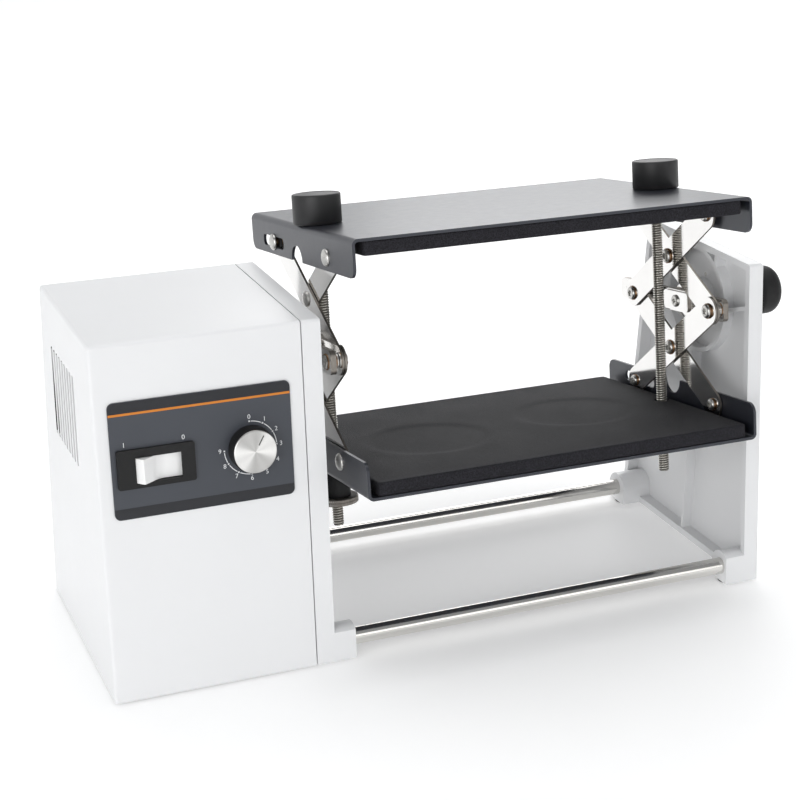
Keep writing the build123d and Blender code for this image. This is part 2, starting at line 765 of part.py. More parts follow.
def make_motor_shaft():
    return rod_x(motor_shaft_radius, bracket_left_x - 19, pulley_right_x + 2, 0, motor_z)


def make_drive_belt():
    def loop(grow):
        upper = Pos(0, axis_height) * Circle(drive_pulley_radius + grow)
        lower = Pos(0, motor_z) * Circle(motor_pulley_radius + grow)
        return make_hull(upper.edges() + lower.edges())
    band = loop(belt_clearance + belt_sheet) - loop(belt_clearance)
    left = pulley_left_x + pulley_rim + belt_clearance
    return plate_x(band, left, pulley_right_x - pulley_rim - belt_clearance)


def make_drive_shaft():
    bar_outer = end_x(-1, hub_bar_outer_inset)
    bar_inner = end_x(-1, -hub_bar_inset)
    flange_left = bar_outer - hub_flange_height
    shaft = rod_x(shaft_radius, bracket_right_x - bearing_width - 2, flange_left, 0, 0)
    shaft += rod_x(hub_flange_radius, flange_left, bar_outer, 0, 0)
    shaft += rod_x(stub_radius, bar_outer, bar_inner, 0, 0)
    shaft -= rod_x(hub_screw_radius, bar_inner - 14, bar_inner + 1, 0, 0)
    return carriage_place * shaft


def make_shaft_bearings():
    bearings = []
    for right in (bracket_right_x, plate_seat_x()):
        left = right - bearing_width
        ring = rod_x(bearing_radius, left, right, 0, axis_height)
        ring -= rod_x(shaft_radius + pivot_clearance, left - 1, right + 1, 0, axis_height)
        for face in (left, right - 0.8):
            groove = rod_x(11.5, face, face + 0.8, 0, axis_height)
            ring -= groove - rod_x(8.5, face - 1, face + 2, 0, axis_height)
        bearings.append(ring)
    return bearings


# ---- Locking pin at the right ----
def guide_nose_x():
    return frame_left_x + guide_nose_setback


def guide_screw_angles():
    return (90, 210, 330)


def guide_screw_place(angle):
    reach = (guide_radius + guide_flange_radius) / 2
    y = reach * math.cos(math.radians(angle))
    return y, axis_height + reach * math.sin(math.radians(angle))


chamber_left_x = frame_right_x + 1.5
chamber_right_x = frame_right_x + guide_end - guide_end_wall
collar_left_x = chamber_left_x + fit_gap
socket_left_x = end_x(1, hub_bar_outer_inset)
socket_right_x = guide_nose_x() - 4.0
lock_tip_x = socket_right_x - lock_pin_entry


def make_pin_guide():
    flange_right = frame_right_x + guide_flange_height
    guide = rod_x(guide_flange_radius, frame_right_x, flange_right, 0, axis_height)
    guide = chamfer(guide.edges().sort_by(Axis.X)[-1], 1)
    guide += rod_x(guide_radius, flange_right, frame_right_x + guide_end, 0, axis_height)
    guide += rod_x(guide_nose_radius, guide_nose_x(), frame_right_x, 0, axis_height)
    guide -= rod_x(lock_pin_radius + pivot_clearance, guide_nose_x() - 1, chamber_left_x + 1, 0, axis_height)
    chamber_radius = lock_collar_radius + fit_gap
    guide -= rod_x(chamber_radius, chamber_left_x, chamber_right_x, 0, axis_height)
    tail_bore = lock_tail_radius + pivot_clearance
    guide -= rod_x(tail_bore, chamber_right_x - 1, frame_right_x + guide_end + 1, 0, axis_height)
    for angle in guide_screw_angles():
        guide -= rod_x(1.6, frame_right_x - 1, flange_right + 1, *guide_screw_place(angle))
    return guide


def make_guide_screws():
    flange_right = frame_right_x + guide_flange_height
    screws = []
    for angle in guide_screw_angles():
        y, z = guide_screw_place(angle)
        shank = rod_x(1.6, frame_right_x - web_thickness, flange_right, y, z)
        screws.append(shank + rod_x(2.8, flange_right, flange_right + 2, y, z))
    return screws


def make_locking_pin():
    pin = rod_x(lock_pin_radius, lock_tip_x, collar_left_x, 0, axis_height)
    pin = chamfer(pin.edges().sort_by(Axis.X)[0], 1)
    collar_right = collar_left_x + lock_collar_height
    pin += rod_x(lock_collar_radius, collar_left_x, collar_right, 0, axis_height)
    tail_end = frame_right_x + guide_end + pull_knob_gap + pull_knob_length * 0.6
    return pin + rod_x(lock_tail_radius, collar_right, tail_end, 0, axis_height)


def make_pin_spring():
    """Compression spring as a stack of wire rings between the collar and the guide's end wall."""
    start = collar_left_x + lock_collar_height + spring_wire_radius + fit_gap
    stop = chamber_right_x - spring_wire_radius - fit_gap
    pitch = (stop - start) / (spring_turns - 1)
    rings = []
    for turn in range(spring_turns):
        place = Pos(start + turn * pitch, 0, axis_height) * Rot(0, 90, 0)
        rings.append(place * Torus(spring_radius, spring_wire_radius))
    return rings


def make_pull_knob():
    left = frame_right_x + guide_end + pull_knob_gap
    knob = rod_x(pull_knob_radius, left, left + pull_knob_length, 0, axis_height)
    knob = fillet(knob.edges().sort_by(Axis.X)[-1], pull_knob_dome)
    bore_end = left + pull_knob_length * 0.6
    return knob - rod_x(lock_tail_radius, left - 1, bore_end, 0, axis_height)


def make_hub_socket():
    bore_floor = socket_left_x + socket_floor
    socket = rod_x(socket_radius, socket_left_x, socket_right_x, 0, 0)
    socket += rod_x(hub_flange_radius, socket_left_x, socket_left_x + 3, 0, 0)
    socket -= rod_x(lock_pin_radius + pivot_clearance, bore_floor, socket_right_x + 1, 0, 0)
    bar_inner = end_x(1, -hub_bar_inset)
    socket += rod_x(stub_radius, bar_inner, socket_left_x, 0, 0)
    return carriage_place * (socket - rod_x(hub_screw_radius, bar_inner - 1, bore_floor + 1, 0, 0))


# ---- Carriage: hub bars and their fasteners ----
def make_hub_bar(side):
    front = -pivot_reach - hub_bar_front_margin
    length = hub_bar_rear_reach - front
    bar = Pos((front + hub_bar_rear_reach) / 2, 0) * RectangleRounded(length, hub_bar_width,
                                                                    hub_bar_corner_radius)
    slot_half = pivot_radius + slot_clearance
    slot_front = rear_reach(open_angle)
    slot_rear = rear_reach(closed_angle) + 4
    slot = SlotCenterToCenter(slot_rear - slot_front, 2 * slot_half)
    bar -= Pos((slot_front + slot_rear) / 2, 0) * slot
    bar -= Circle(stub_radius) + Pos(-pivot_reach, 0) * Circle(pivot_radius)
    return plate_x(bar, end_x(side, hub_bar_outer_inset), end_x(side, -hub_bar_inset))


def make_clamp_plate(side):
    plate = RectangleRounded(clamp_plate_length, clamp_plate_width, 3) - Circle(hub_screw_radius)
    return plate_x(plate, end_x(side, -hub_bar_inset), end_x(side, clamp_plate_sheet - hub_bar_inset))


def make_hub_screw(side):
    seat = clamp_plate_sheet - hub_bar_inset
    head = rod_x(hub_screw_head_radius, end_x(side, seat), end_x(side, seat + hub_screw_head_height))
    tip = hub_bar_outer_inset - socket_floor + 0.25
    shank = rod_x(hub_screw_radius, end_x(side, tip), end_x(side, seat))
    cross = block(-5, 5, -3, 3, -0.5, 0.5) + block(-5, 5, -0.5, 0.5, -3, 3)
    cross = Pos(end_x(side, seat + hub_screw_head_height + 4.2), 0, 0) * cross
    return head + shank - cross


# ---- Carriage: scissor arms and pins ----
def arm(side, layer, rise, lean):
    """One scissor arm; rise is its centre's height and lean is 1 or -1 for its slope."""
    strip = SlotCenterToCenter(2 * arm_half_length, arm_width)
    for along in (-arm_half_length, 0, arm_half_length):
        strip -= Pos(along, 0) * Circle(pivot_radius + pivot_clearance)
    strip = Pos(0, rise) * Rot(0, 0, lean * rest_angle) * strip
    start = layer_start[layer]
    return plate_x(strip, end_x(side, start), end_x(side, start + arm_sheet))


def pin(side, u, v, steps):
    """Stepped round pin along X; steps are (inset from, inset to, radius)."""
    pieces = [rod_x(radius, end_x(side, start), end_x(side, stop), u, v) for start, stop, radius in steps]
    whole = pieces[0]
    for piece in pieces[1:]:
        whole += piece
    return whole


def make_front_pivot(side):
    arms_start = layer_start["outer"] - fit_gap
    head_start = arm_stack_end + fit_gap
    outer = hub_bar_outer_inset
    steps = [(outer - 2.2, outer, pin_head_radius), (outer, head_start, pivot_radius),
             (-hub_bar_inset, arms_start, pivot_radius + 2.2),
             (head_start, head_start + pin_head_height, pin_head_radius)]
    return pin(side, -pivot_reach, 0, steps)


def make_rear_pivot(side):
    outer = hub_bar_outer_inset - fit_gap
    steps = [(outer - 2.2, outer, pin_head_radius), (outer, arm_stack_end, pivot_radius + pivot_clearance),
             (arm_stack_end, arm_stack_end + pin_head_height, pin_head_radius)]
    return pin(side, pivot_reach, 0, steps)


def make_centre_pin(side, level, owner):
    """Pin where two arms cross; it is fixed in the owner layer and turns in the other one."""
    start = layer_start["outer"]
    outer_gap = 0 if owner == "outer" else fit_gap
    inner_gap = 0 if owner == "inner" else fit_gap
    outer_face = start - outer_gap
    inner_face = arm_stack_end + inner_gap
    steps = [(outer_face - 2.2, outer_face, pin_head_radius), (outer_face, inner_face, pivot_radius),
             (inner_face, inner_face + pin_head_height, pin_head_radius)]
    return pin(side, 0, level * pivot_rise, steps)


def make_tray_bolt(side, level, layer):
    """Bolt fixed in the tray's flange; the arm's end turns on it."""
    start = layer_start[layer]
    nut = start + arm_sheet + fit_gap
    steps = [(-bolt_head_height, 0, bolt_head_radius), (0, nut, pivot_radius),
             (tray_sheet, start - fit_gap, pivot_radius + 1.5),
             (nut, nut + pin_head_height, tray_nut_radius)]
    bolt = pin(side, -pivot_reach, level * 2 * pivot_rise, steps)
    return bolt


def make_slot_pin(side, level, layer):
    """Pin fixed in the arm's end; it slides in the slot of the tray's flange."""
    start = layer_start[layer]
    outer = -fit_gap
    steps = [(outer - bolt_head_height, outer, bolt_head_radius),
             (outer, start + arm_sheet, pivot_radius + pivot_clearance),
             (start + arm_sheet, start + arm_sheet + pin_head_height, tray_nut_radius)]
    if layer == "inner":
        steps.append((tray_sheet + fit_gap, start, pivot_radius + 1.5))
    return pin(side, pivot_reach, level * 2 * pivot_rise, steps)


# ---- Carriage: trays and foam ----
def make_tray(level):
    """Sheet bent down (level 1) or up (level -1) at both ends."""
    left = tray_mid_x - tray_length / 2
    right = tray_mid_x + tray_length / 2
    inner_radius = tray_bend_radius - tray_sheet
    half = tray_depth / 2
    outer = Pos(tray_mid_x, tray_face - flange_height) * Rectangle(tray_length, 2 * flange_height)
    outer = fillet(outer.vertices().sort_by(Axis.Y)[-2:], tray_bend_radius)
    inner = Rectangle(tray_length - 2 * tray_sheet, 2 * flange_height)
    inner = Pos(tray_mid_x, tray_face - tray_sheet - flange_height) * inner
    inner = fillet(inner.vertices().sort_by(Axis.Y)[-2:], inner_radius)
    below = Pos(tray_mid_x, tray_face - 2 * flange_height) * Rectangle(2 * tray_length, 2 * flange_height)
    section = outer - inner - below
    tray = extrude(Plane.XZ * section, amount=half, both=True)
    low = tray_face - flange_height
    keep = Pos(0, tray_face - flange_height / 2 + 5) * Rectangle(tray_depth, flange_height + 10)
    keep = fillet(keep.vertices().sort_by(Axis.Y)[:2], flange_corner_radius)
    bolt_level = 2 * pivot_rise
    keep -= Pos(-pivot_reach, bolt_level) * Circle(pivot_radius)
    slot_width = 2 * (pivot_radius + slot_clearance + 0.6)
    slot_place = (rear_reach(closed_angle) + 4 - (tray_slot_length - slot_width) / 2, bolt_level)
    keep -= Pos(*slot_place) * SlotOverall(tray_slot_length, slot_width)
    keep -= Pos(notch_offset, low) * Circle(notch_radius)
    tray = tray & plate_x(keep, left - 1, right + 1)
    hole = rod_radius + rod_hole_clearance
    for side in (-1, 1):
        tray -= rod_z(hole, low, tray_face + 1, end_x(side, rod_end_inset))
    if level < 0:
        tray = mirror(tray, Plane.XY)
    return carriage_place * tray


def make_foam(level):
    length = tray_length - 2 * foam_end_inset
    depth = tray_depth - 2 * foam_side_inset
    pad = extrude(RectangleRounded(length, depth, foam_corner_radius), amount=foam_thickness)
    pad = Pos(tray_mid_x, 0, foam_face) * pad
    for side in (-1, 1):
        pad -= rod_z(foam_hole_radius, foam_face - 1, tray_face, end_x(side, rod_end_inset))
    if level < 0:
        pad = mirror(pad, Plane.XY)
    return carriage_place * pad


# ---- Carriage: rods, knobs, sleeves ----
def make_threaded_rod(side):
    low = -tray_face - sleeve_height - disc_height - rod_tail
    rod = rod_z(rod_radius, low, tray_face + fit_gap + rod_in_knob, end_x(side, rod_end_inset))
    rod = chamfer(rod.edges().sort_by(Axis.Z)[0], 0.8)
    return carriage_place * rod


def make_clamp_knob(side):
    base = tray_face + fit_gap
    x = end_x(side, rod_end_inset)
    knob = rod_z(knob_radius, base, base + knob_height, x)
    knob = fillet(knob.edges().sort_by(Axis.Z)[-1], knob_edge_radius)
    return carriage_place * (knob - rod_z(rod_radius, base - 1, base + rod_in_knob, x))


def make_sleeve(side):
    x = end_x(side, rod_end_inset)
    low = -tray_face - sleeve_height
    sleeve = rod_z(sleeve_radius, low, -tray_face, x)
    return sleeve - rod_z(rod_radius + rod_clearance, low - 1, 1 - tray_face, x)


def make_threaded_disc(side):
    x = end_x(side, rod_end_inset)
    high = -tray_face - sleeve_height
    low = high - disc_height
    disc = chamfer(rod_z(disc_radius, low, high, x).edges(), 0.6)
    return disc - rod_z(rod_radius + rod_clearance, low - 1, high + 1, x)


def build_nodes():
    """Every node's name and its solid or solids."""
    nodes = {
        "housing_shell": make_housing_shell(),
        "base_plate": make_base_plate(),
        "housing_screws": make_housing_screws(),
        "end_plate": make_end_plate(),
        "end_frame": make_end_frame(),
        "tie_bars": make_tie_bars(),
        "tie_bar_screws": make_tie_bar_screws(),
        "foot_pads": make_foot_pads(),
        "control_panel": make_control_panel(),
        "switch_body": make_switch_body(),
        "switch_rocker": make_switch_rocker(),
        "speed_dial": make_dial_body(),
        "speed_dial_cap": make_dial_cap(),
        "potentiometer": make_potentiometer(),
        "potentiometer_shaft": make_pot_shaft(),
        "circuit_board": make_circuit_board(),
        "board_standoffs": make_standoffs(),
        "board_parts": make_board_parts(),
        "power_inlet": make_power_inlet(),
        "drive_bracket": make_drive_bracket(),
        "drive_screws": make_drive_screws(),
        "gearbox": make_gearbox(),
        "motor_can": make_motor_can(),
        "motor_pulley": make_motor_pulley(),
        "motor_shaft": make_motor_shaft(),
        "drive_belt": make_drive_belt(),
        "drive_pulley": make_drive_pulley(),
        "drive_shaft": make_drive_shaft(),
        "shaft_bearings": make_shaft_bearings(),
        "pin_guide": make_pin_guide(),
        "guide_screws": make_guide_screws(),
        "locking_pin": make_locking_pin(),
        "pin_spring": make_pin_spring(),
        "pull_knob": make_pull_knob(),
        "hub_socket": make_hub_socket(),
        "hub_bars": both_ends(make_hub_bar),
        "hub_clamp_plates": both_ends(make_clamp_plate),
        "hub_screws": both_ends(make_hub_screw),
        "front_pivot_pins": both_ends(make_front_pivot),
        "rear_pivot_pins": both_ends(make_rear_pivot),
        "upper_lift_arms": both_ends(lambda side: arm(side, "outer", pivot_rise, 1)),
        "upper_cross_arms": both_ends(lambda side: arm(side, "inner", pivot_rise, -1)),
        "lower_lift_arms": both_ends(lambda side: arm(side, "inner", -pivot_rise, -1)),
        "lower_cross_arms": both_ends(lambda side: arm(side, "outer", -pivot_rise, 1)),
        "upper_centre_pins": both_ends(lambda side: make_centre_pin(side, 1, "outer")),
        "lower_centre_pins": both_ends(lambda side: make_centre_pin(side, -1, "inner")),
        "upper_tray_bolts": both_ends(lambda side: make_tray_bolt(side, 1, "inner")),
        "lower_tray_bolts": both_ends(lambda side: make_tray_bolt(side, -1, "outer")),
        "upper_slot_pins": both_ends(lambda side: make_slot_pin(side, 1, "outer")),
        "lower_slot_pins": both_ends(lambda side: make_slot_pin(side, -1, "inner")),
        "upper_tray": make_tray(1),
        "lower_tray": make_tray(-1),
        "upper_foam_pad": make_foam(1),
        "lower_foam_pad": make_foam(-1),
        "rod_sleeves": both_ends(make_sleeve),
        "threaded_discs": both_ends(make_threaded_disc),
    }
    for name, side in (("left", -1), ("right", 1)):
        nodes[f"{name}_threaded_rod"] = make_threaded_rod(side)
        nodes[f"{name}_clamp_knob"] = make_clamp_knob(side)
    return nodes


def export_nodes(nodes):
    os.makedirs("parts", exist_ok=True)
    for name, shape in nodes.items():
        solids = []
        for piece in (shape if isinstance(shape, list) else [shape]):
            solids.extend(piece.solids())
        export_step(Compound(children=solids), f"parts/{name}.step")


export_nodes(build_nodes())
print("overall length", round(overall_length, 2), "left face at", round(left_x, 3))
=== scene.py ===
import json
import math
import bpy
from mathutils import Matrix, Vector


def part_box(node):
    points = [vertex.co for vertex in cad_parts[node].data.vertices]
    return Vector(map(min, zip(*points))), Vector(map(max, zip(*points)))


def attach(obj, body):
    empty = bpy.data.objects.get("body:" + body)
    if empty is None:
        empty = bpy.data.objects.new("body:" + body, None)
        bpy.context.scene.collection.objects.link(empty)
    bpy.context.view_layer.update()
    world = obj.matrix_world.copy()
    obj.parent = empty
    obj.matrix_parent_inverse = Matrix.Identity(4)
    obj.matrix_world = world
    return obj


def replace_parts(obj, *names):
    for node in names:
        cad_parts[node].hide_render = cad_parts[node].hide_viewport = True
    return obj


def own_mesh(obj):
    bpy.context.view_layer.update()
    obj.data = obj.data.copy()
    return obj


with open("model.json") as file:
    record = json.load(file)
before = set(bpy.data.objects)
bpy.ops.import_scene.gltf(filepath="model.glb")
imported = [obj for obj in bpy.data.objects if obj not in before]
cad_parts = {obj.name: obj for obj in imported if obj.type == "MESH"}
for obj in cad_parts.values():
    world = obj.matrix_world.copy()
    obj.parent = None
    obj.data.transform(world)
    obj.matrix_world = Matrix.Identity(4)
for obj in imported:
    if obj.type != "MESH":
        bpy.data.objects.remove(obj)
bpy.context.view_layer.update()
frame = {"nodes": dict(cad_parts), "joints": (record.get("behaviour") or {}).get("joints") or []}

mm = 0.001
tip = 0.02 * mm                                            # radius where a turned outline meets its axis
joints = {joint["name"]: joint for joint in frame["joints"]}


def report(text):
    print("shaker:", text)


# places taken from the frame
acrossX = Vector((1, 0, 0))
spinAxis = Vector(joints["carriage_spin"]["pos_m"])
carriageUp = Vector(joints["left_knob_turn"]["axis"])      # along the threaded rods
panelOut = -Vector(joints["speed_dial_turn"]["axis"])      # away from the sloped front wall
panelUp = panelOut.cross(acrossX)


def turnedTo(up):
    # a rotation that keeps x and points z along up
    return Matrix((acrossX, up.cross(acrossX), up)).transposed().to_4x4()


def midpoint(node):
    low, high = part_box(node)
    return (low + high) / 2


carriageTurn = turnedTo(carriageUp)
panelTurn = turnedTo(panelOut)
report("frame read")


# shader building
class Signal:
    # one output socket; arithmetic on it adds Math nodes
    def __init__(self, finish, socket):
        self.finish = finish
        self.socket = socket

    def maths(self, operation, first, second):
        return self.finish.apply(operation, first, second)

    def __add__(self, other):
        return self.maths("ADD", self, other)

    def __radd__(self, other):
        return self.maths("ADD", other, self)

    def __sub__(self, other):
        return self.maths("SUBTRACT", self, other)

    def __rsub__(self, other):
        return self.maths("SUBTRACT", other, self)

    def __mul__(self, other):
        return self.maths("MULTIPLY", self, other)

    def __rmul__(self, other):
        return self.maths("MULTIPLY", other, self)


class Finish:
    # one material and the nodes that make it
    def __init__(self, name):
        self.material = bpy.data.materials.new(name)
        self.material.use_nodes = True
        self.tree = self.material.node_tree
        self.tree.nodes.clear()

    def node(self, kind, settings=None, inputs=None, output=0):
        made = self.tree.nodes.new(kind)
        for key, value in (settings or {}).items():
            if key == "stops":
                self.setStops(made.color_ramp, value)
            else:
                setattr(made, key, value)
        for key, value in (inputs or {}).items():
            if isinstance(value, Signal):
                self.tree.links.new(value.socket, made.inputs[key])
            else:
                made.inputs[key].default_value = value
        return Signal(self, made.outputs[output]) if len(made.outputs) else None

    def setStops(self, ramp, stops):
        while len(ramp.elements) < len(stops):
            ramp.elements.new(0.5)
        for element, (place, value) in zip(ramp.elements, stops):
            element.position = place
            element.color = (value, value, value, 1)

    def spot(self):
        return self.node("ShaderNodeTexCoord", output=3)   # the piece's own coordinates, in metres

    def facing(self):
        return self.node("ShaderNodeTexCoord", output=1)   # the normal

    def stretched(self, scale=(1, 1, 1)):
        return self.node("ShaderNodeMapping", {}, {"Vector": self.spot(), "Scale": scale})

    def noise(self, spot, scale, detail=2.0, roughness=0.5):
        values = {"Vector": spot, "Scale": scale, "Detail": detail, "Roughness": roughness}
        return self.node("ShaderNodeTexNoise", {}, values)

    def cells(self, spot, scale):
        return self.node("ShaderNodeTexVoronoi", {"feature": "F1"}, {"Vector": spot, "Scale": scale})

    def ramp(self, value, stops):
        return self.node("ShaderNodeValToRGB", {"stops": stops}, {"Fac": value})

    def apply(self, operation, *values):
        return self.node("ShaderNodeMath", {"operation": operation}, dict(enumerate(values)))

    def vector(self, operation, *values, output=0):
        return self.node("ShaderNodeVectorMath", {"operation": operation}, dict(enumerate(values)), output)

    def split(self, vector):
        parts = self.node("ShaderNodeSeparateXYZ", {}, {0: vector})
        return [Signal(self, socket) for socket in parts.socket.node.outputs]

    def mix(self, factor, first, second):
        return self.node("ShaderNodeMix", {"data_type": "RGBA"}, {0: factor, 6: first, 7: second}, 2)

    def surface(self, color, roughness, height=None, depth=0.05, strength=1.0, **fixed):
        values = {"Base Color": color, "Roughness": roughness}
        values.update({key.replace("_", " "): value for key, value in fixed.items()})
        if height is not None:
            relief = {"Height": height, "Distance": depth * mm, "Strength": strength}
            values["Normal"] = self.node("ShaderNodeBump", {}, relief)
        shader = self.node("ShaderNodeBsdfPrincipled", {}, values)
        self.node("ShaderNodeOutputMaterial", {}, {"Surface": shader})
        return self.material


def shade(value, tint=(1, 1, 1)):
    return (value * tint[0], value * tint[1], value * tint[2], 1)


# finishes
# the near-black inside colour and its edge ramp are painted shade on the shell's inner walls
paintLook = {"bright": 0.80, "dull": 0.765, "insideShade": 0.03, "tint": (0.985, 0.99, 1.0), "gloss": 0.34,
             "cloud": 14, "peel": 1500, "grain": 70, "insideShadeEdge": [(0.36, 0.0), (0.46, 1.0)]}


def makeWhitePaint(name="whitePaint", hollow=None):
    finish = Finish(name)
    spot = finish.stretched()
    cloud = finish.noise(spot, paintLook["cloud"], 3)
    peel = finish.noise(spot, paintLook["peel"], 2)
    grain = finish.noise(spot, paintLook["grain"], 4)
    color = finish.mix(cloud, shade(paintLook["dull"], paintLook["tint"]),
                       shade(paintLook["bright"], paintLook["tint"]))
    if hollow is not None:                                 # painted shade: near black where a wall faces the hollow, standing in for the shade inside the shell
        away = finish.vector("NORMALIZE", finish.vector("SUBTRACT", spot, hollow))
        outward = finish.vector("DOT_PRODUCT", away, finish.facing(), output=1)
        inside = finish.ramp(outward * -1, paintLook["insideShadeEdge"])
        color = finish.mix(inside, color, shade(paintLook["insideShade"]))
    roughness = paintLook["gloss"] + grain * 0.12
    return finish.surface(color, roughness, peel, depth=0.03, strength=0.35, Coat_Weight=0.15,
                          Coat_Roughness=0.2)


trayLook = {"dark": 0.013, "light": 0.019, "tint": (0.86, 0.94, 1.32), "gloss": 0.30, "cloud": 22,
            "powder": 2100, "wear": 160, "sheen": (0.90, 0.93, 1.0, 1)}


def makeTrayPaint():
    finish = Finish("trayPaint")
    spot = finish.stretched()
    cloud = finish.noise(spot, trayLook["cloud"], 4)
    powder = finish.noise(spot, trayLook["powder"], 3, 0.6)
    color = finish.mix(cloud, shade(trayLook["dark"], trayLook["tint"]),
                       shade(trayLook["light"], trayLook["tint"]))
    roughness = trayLook["gloss"] + finish.noise(spot, trayLook["wear"], 3) * 0.05
    return finish.surface(color, roughness, powder, depth=0.03, strength=0.4, Specular_IOR_Level=0.7,
                          Specular_Tint=trayLook["sheen"])


foamLook = {"pit": 0.002, "skin": 0.019, "cell": 1100, "wear": 30, "tint": (1.0, 0.97, 1.25), "gloss": 0.66}


def makeFoam():
    finish = Finish("closedCellFoam")
    spot = finish.stretched()
    pores = finish.cells(spot, foamLook["cell"])
    crumbs = finish.noise(spot, foamLook["cell"], 5, 0.7)
    wear = finish.noise(spot, foamLook["wear"], 4)
    surfaceCells = pores * 0.6 + crumbs * 0.7
    tone = finish.ramp(surfaceCells + wear * 0.12, [(0.42, 0.0), (0.85, 1.0)])
    color = finish.mix(tone, shade(foamLook["pit"], foamLook["tint"]),
                       shade(foamLook["skin"], foamLook["tint"]))
    roughness = foamLook["gloss"] + wear * 0.14
    return finish.surface(color, roughness, surfaceCells, depth=0.35, strength=0.9, Sheen_Weight=0.04,
                          Sheen_Roughness=0.5, Specular_IOR_Level=0.2)


sheetLook = {"dull": 0.80, "bright": 0.90, "gloss": 0.055, "edge": 0.16, "edgeGloss": 0.42, "cloud": 45,
             "grain": 1100, "waves": 60, "faceEdge": [(0.6, 0.0), (0.9, 1.0)]}


def makeSheetSteel():
    # mirror-bright faces, and darker laser-cut edges wherever the sheet isn't facing along x
    finish = Finish("polishedSheetSteel")
    spot = finish.stretched()
    cloud = finish.noise(spot, sheetLook["cloud"], 3)
    fine = finish.noise(finish.stretched((1, 1, 0.08)), sheetLook["grain"], 3)
    along = finish.apply("ABSOLUTE", finish.split(finish.facing())[0])
    flat = finish.ramp(along, sheetLook["faceEdge"])
    face = finish.mix(cloud, shade(sheetLook["dull"], (1.0, 0.985, 0.965)),
                      shade(sheetLook["bright"], (1.0, 0.99, 0.975)))
    edge = finish.mix(fine, shade(sheetLook["edge"], (1.0, 0.9, 0.78)),
                      shade(sheetLook["edge"] * 2.2, (1.0, 0.93, 0.85)))
    gloss = sheetLook["gloss"] + fine * 0.05 + cloud * 0.03
    roughness = sheetLook["edgeGloss"] - flat * (sheetLook["edgeGloss"] - gloss)
    waves = fine * 0.2 + finish.noise(spot, sheetLook["waves"], 2)
    color = finish.mix(flat, edge, face)
    return finish.surface(color, roughness, waves, depth=0.05, strength=0.2, Metallic=1.0)


screwLook = {"dark": 0.46, "bright": 0.70, "blotch": 260, "grain": 1400, "gloss": 0.2}


def makeScrewSteel():
    finish = Finish("zincPlate")
    spot = finish.stretched()
    blotch = finish.noise(spot, screwLook["blotch"], 4)
    color = finish.mix(blotch, shade(screwLook["dark"], (1.0, 0.98, 0.93)),
                       shade(screwLook["bright"], (1.0, 0.99, 0.96)))
    roughness = screwLook["gloss"] + blotch * 0.18
    grain = finish.noise(spot, screwLook["grain"], 2)
    return finish.surface(color, roughness, grain, depth=0.03, strength=0.4, Metallic=1.0)


barLook = {"dark": 0.58, "bright": 0.80, "rings": 1800, "streaks": 260, "cloud": 30, "gloss": 0.09}


def makeBarSteel():
    # centreless-ground bar: very fine rings round it and long faint streaks along it
    finish = Finish("groundBarSteel")
    rings = finish.noise(finish.stretched((1, 0.05, 0.05)), barLook["rings"], 2)
    streaks = finish.noise(finish.stretched((0.03, 1, 1)), barLook["streaks"], 3)
    cloud = finish.noise(finish.stretched(), barLook["cloud"], 3)
    color = finish.mix(streaks, shade(barLook["dark"], (1.0, 0.975, 0.93)),
                       shade(barLook["bright"], (1.0, 0.985, 0.95)))
    roughness = barLook["gloss"] + rings * 0.06 + cloud * 0.04
    return finish.surface(color, roughness, rings, depth=0.003, strength=0.15, Metallic=1.0)


# the dark entry is painted shade for the thread roots
threadLook = {"root": 3.3, "crest": 3.85, "dark": 0.10, "bright": 0.74, "rootMottle": 300}


def makeThreadSteel():
    # painted shade: dark thread roots against bright crests, found by the distance from the rod's own axis,
    # standing in for the shade in the grooves
    finish = Finish("threadSteel")
    spot = finish.spot()
    radius = finish.vector("LENGTH", finish.vector("MULTIPLY", spot, (1, 1, 0)), output=1)
    reach = threadLook["crest"] - threadLook["root"]
    depth = (radius * (1 / mm) - threadLook["root"]) * (1 / reach)
    rootMottle = finish.noise(spot, threadLook["rootMottle"], 3)
    crest = finish.ramp(depth + rootMottle * 0.3 - 0.15, [(0.05, 0.0), (0.9, 1.0)])
    color = finish.mix(crest, shade(threadLook["dark"], (1.0, 0.93, 0.80)),
                       shade(threadLook["bright"], (1.0, 0.965, 0.89)))
    roughness = 0.5 - crest * 0.28
    return finish.surface(color, roughness, rootMottle, depth=0.02, strength=0.3, Metallic=1.0)


def makeMouldedPlastic(name, dark, light, gloss, grain=2300, relief=0.06, tint=(0.98, 0.98, 1.04), shine=0.5):
    finish = Finish(name)
    spot = finish.stretched()
    spark = finish.noise(spot, grain, 2)
    cloud = finish.noise(spot, 40, 3)
    color = finish.mix(cloud, shade(dark, tint), shade(light, tint))
    roughness = gloss + cloud * 0.1
    return finish.surface(color, roughness, spark, depth=relief, strength=0.6, Specular_IOR_Level=shine)


filmLook = {"dark": 0.048, "light": 0.058, "dots": 1900, "cloud": 20, "gloss": 0.42}


def makePanelFilm():
    finish = Finish("panelFilm")
    spot = finish.stretched()
    dots = finish.noise(spot, filmLook["dots"], 2)
    cloud = finish.noise(spot, filmLook["cloud"], 3)
    color = finish.mix(cloud, shade(filmLook["dark"], (0.86, 0.96, 1.20)),
                       shade(filmLook["light"], (0.88, 0.97, 1.18)))
    return finish.surface(color, filmLook["gloss"] + cloud * 0.08, dots, depth=0.03, strength=0.4)


def makeInk(name, color, gloss=0.45, faded=0.88):
    finish = Finish(name)
    fleck = finish.noise(finish.stretched(), 1800, 2)
    tone = finish.mix(fleck, shade(faded, color), shade(1, color))
    return finish.surface(tone, gloss + fleck * 0.1, fleck, depth=0.01, strength=0.3)


# the sector stops set the painted highlight and shade round the dial face
dialLook = {"dark": 0.20, "bright": 0.95, "scratch": 900, "grooves": 14000, "gloss": 0.28,
            "paintedGlintStops": [(0.1, 0.30), (0.55, 0.55), (0.95, 0.92)]}


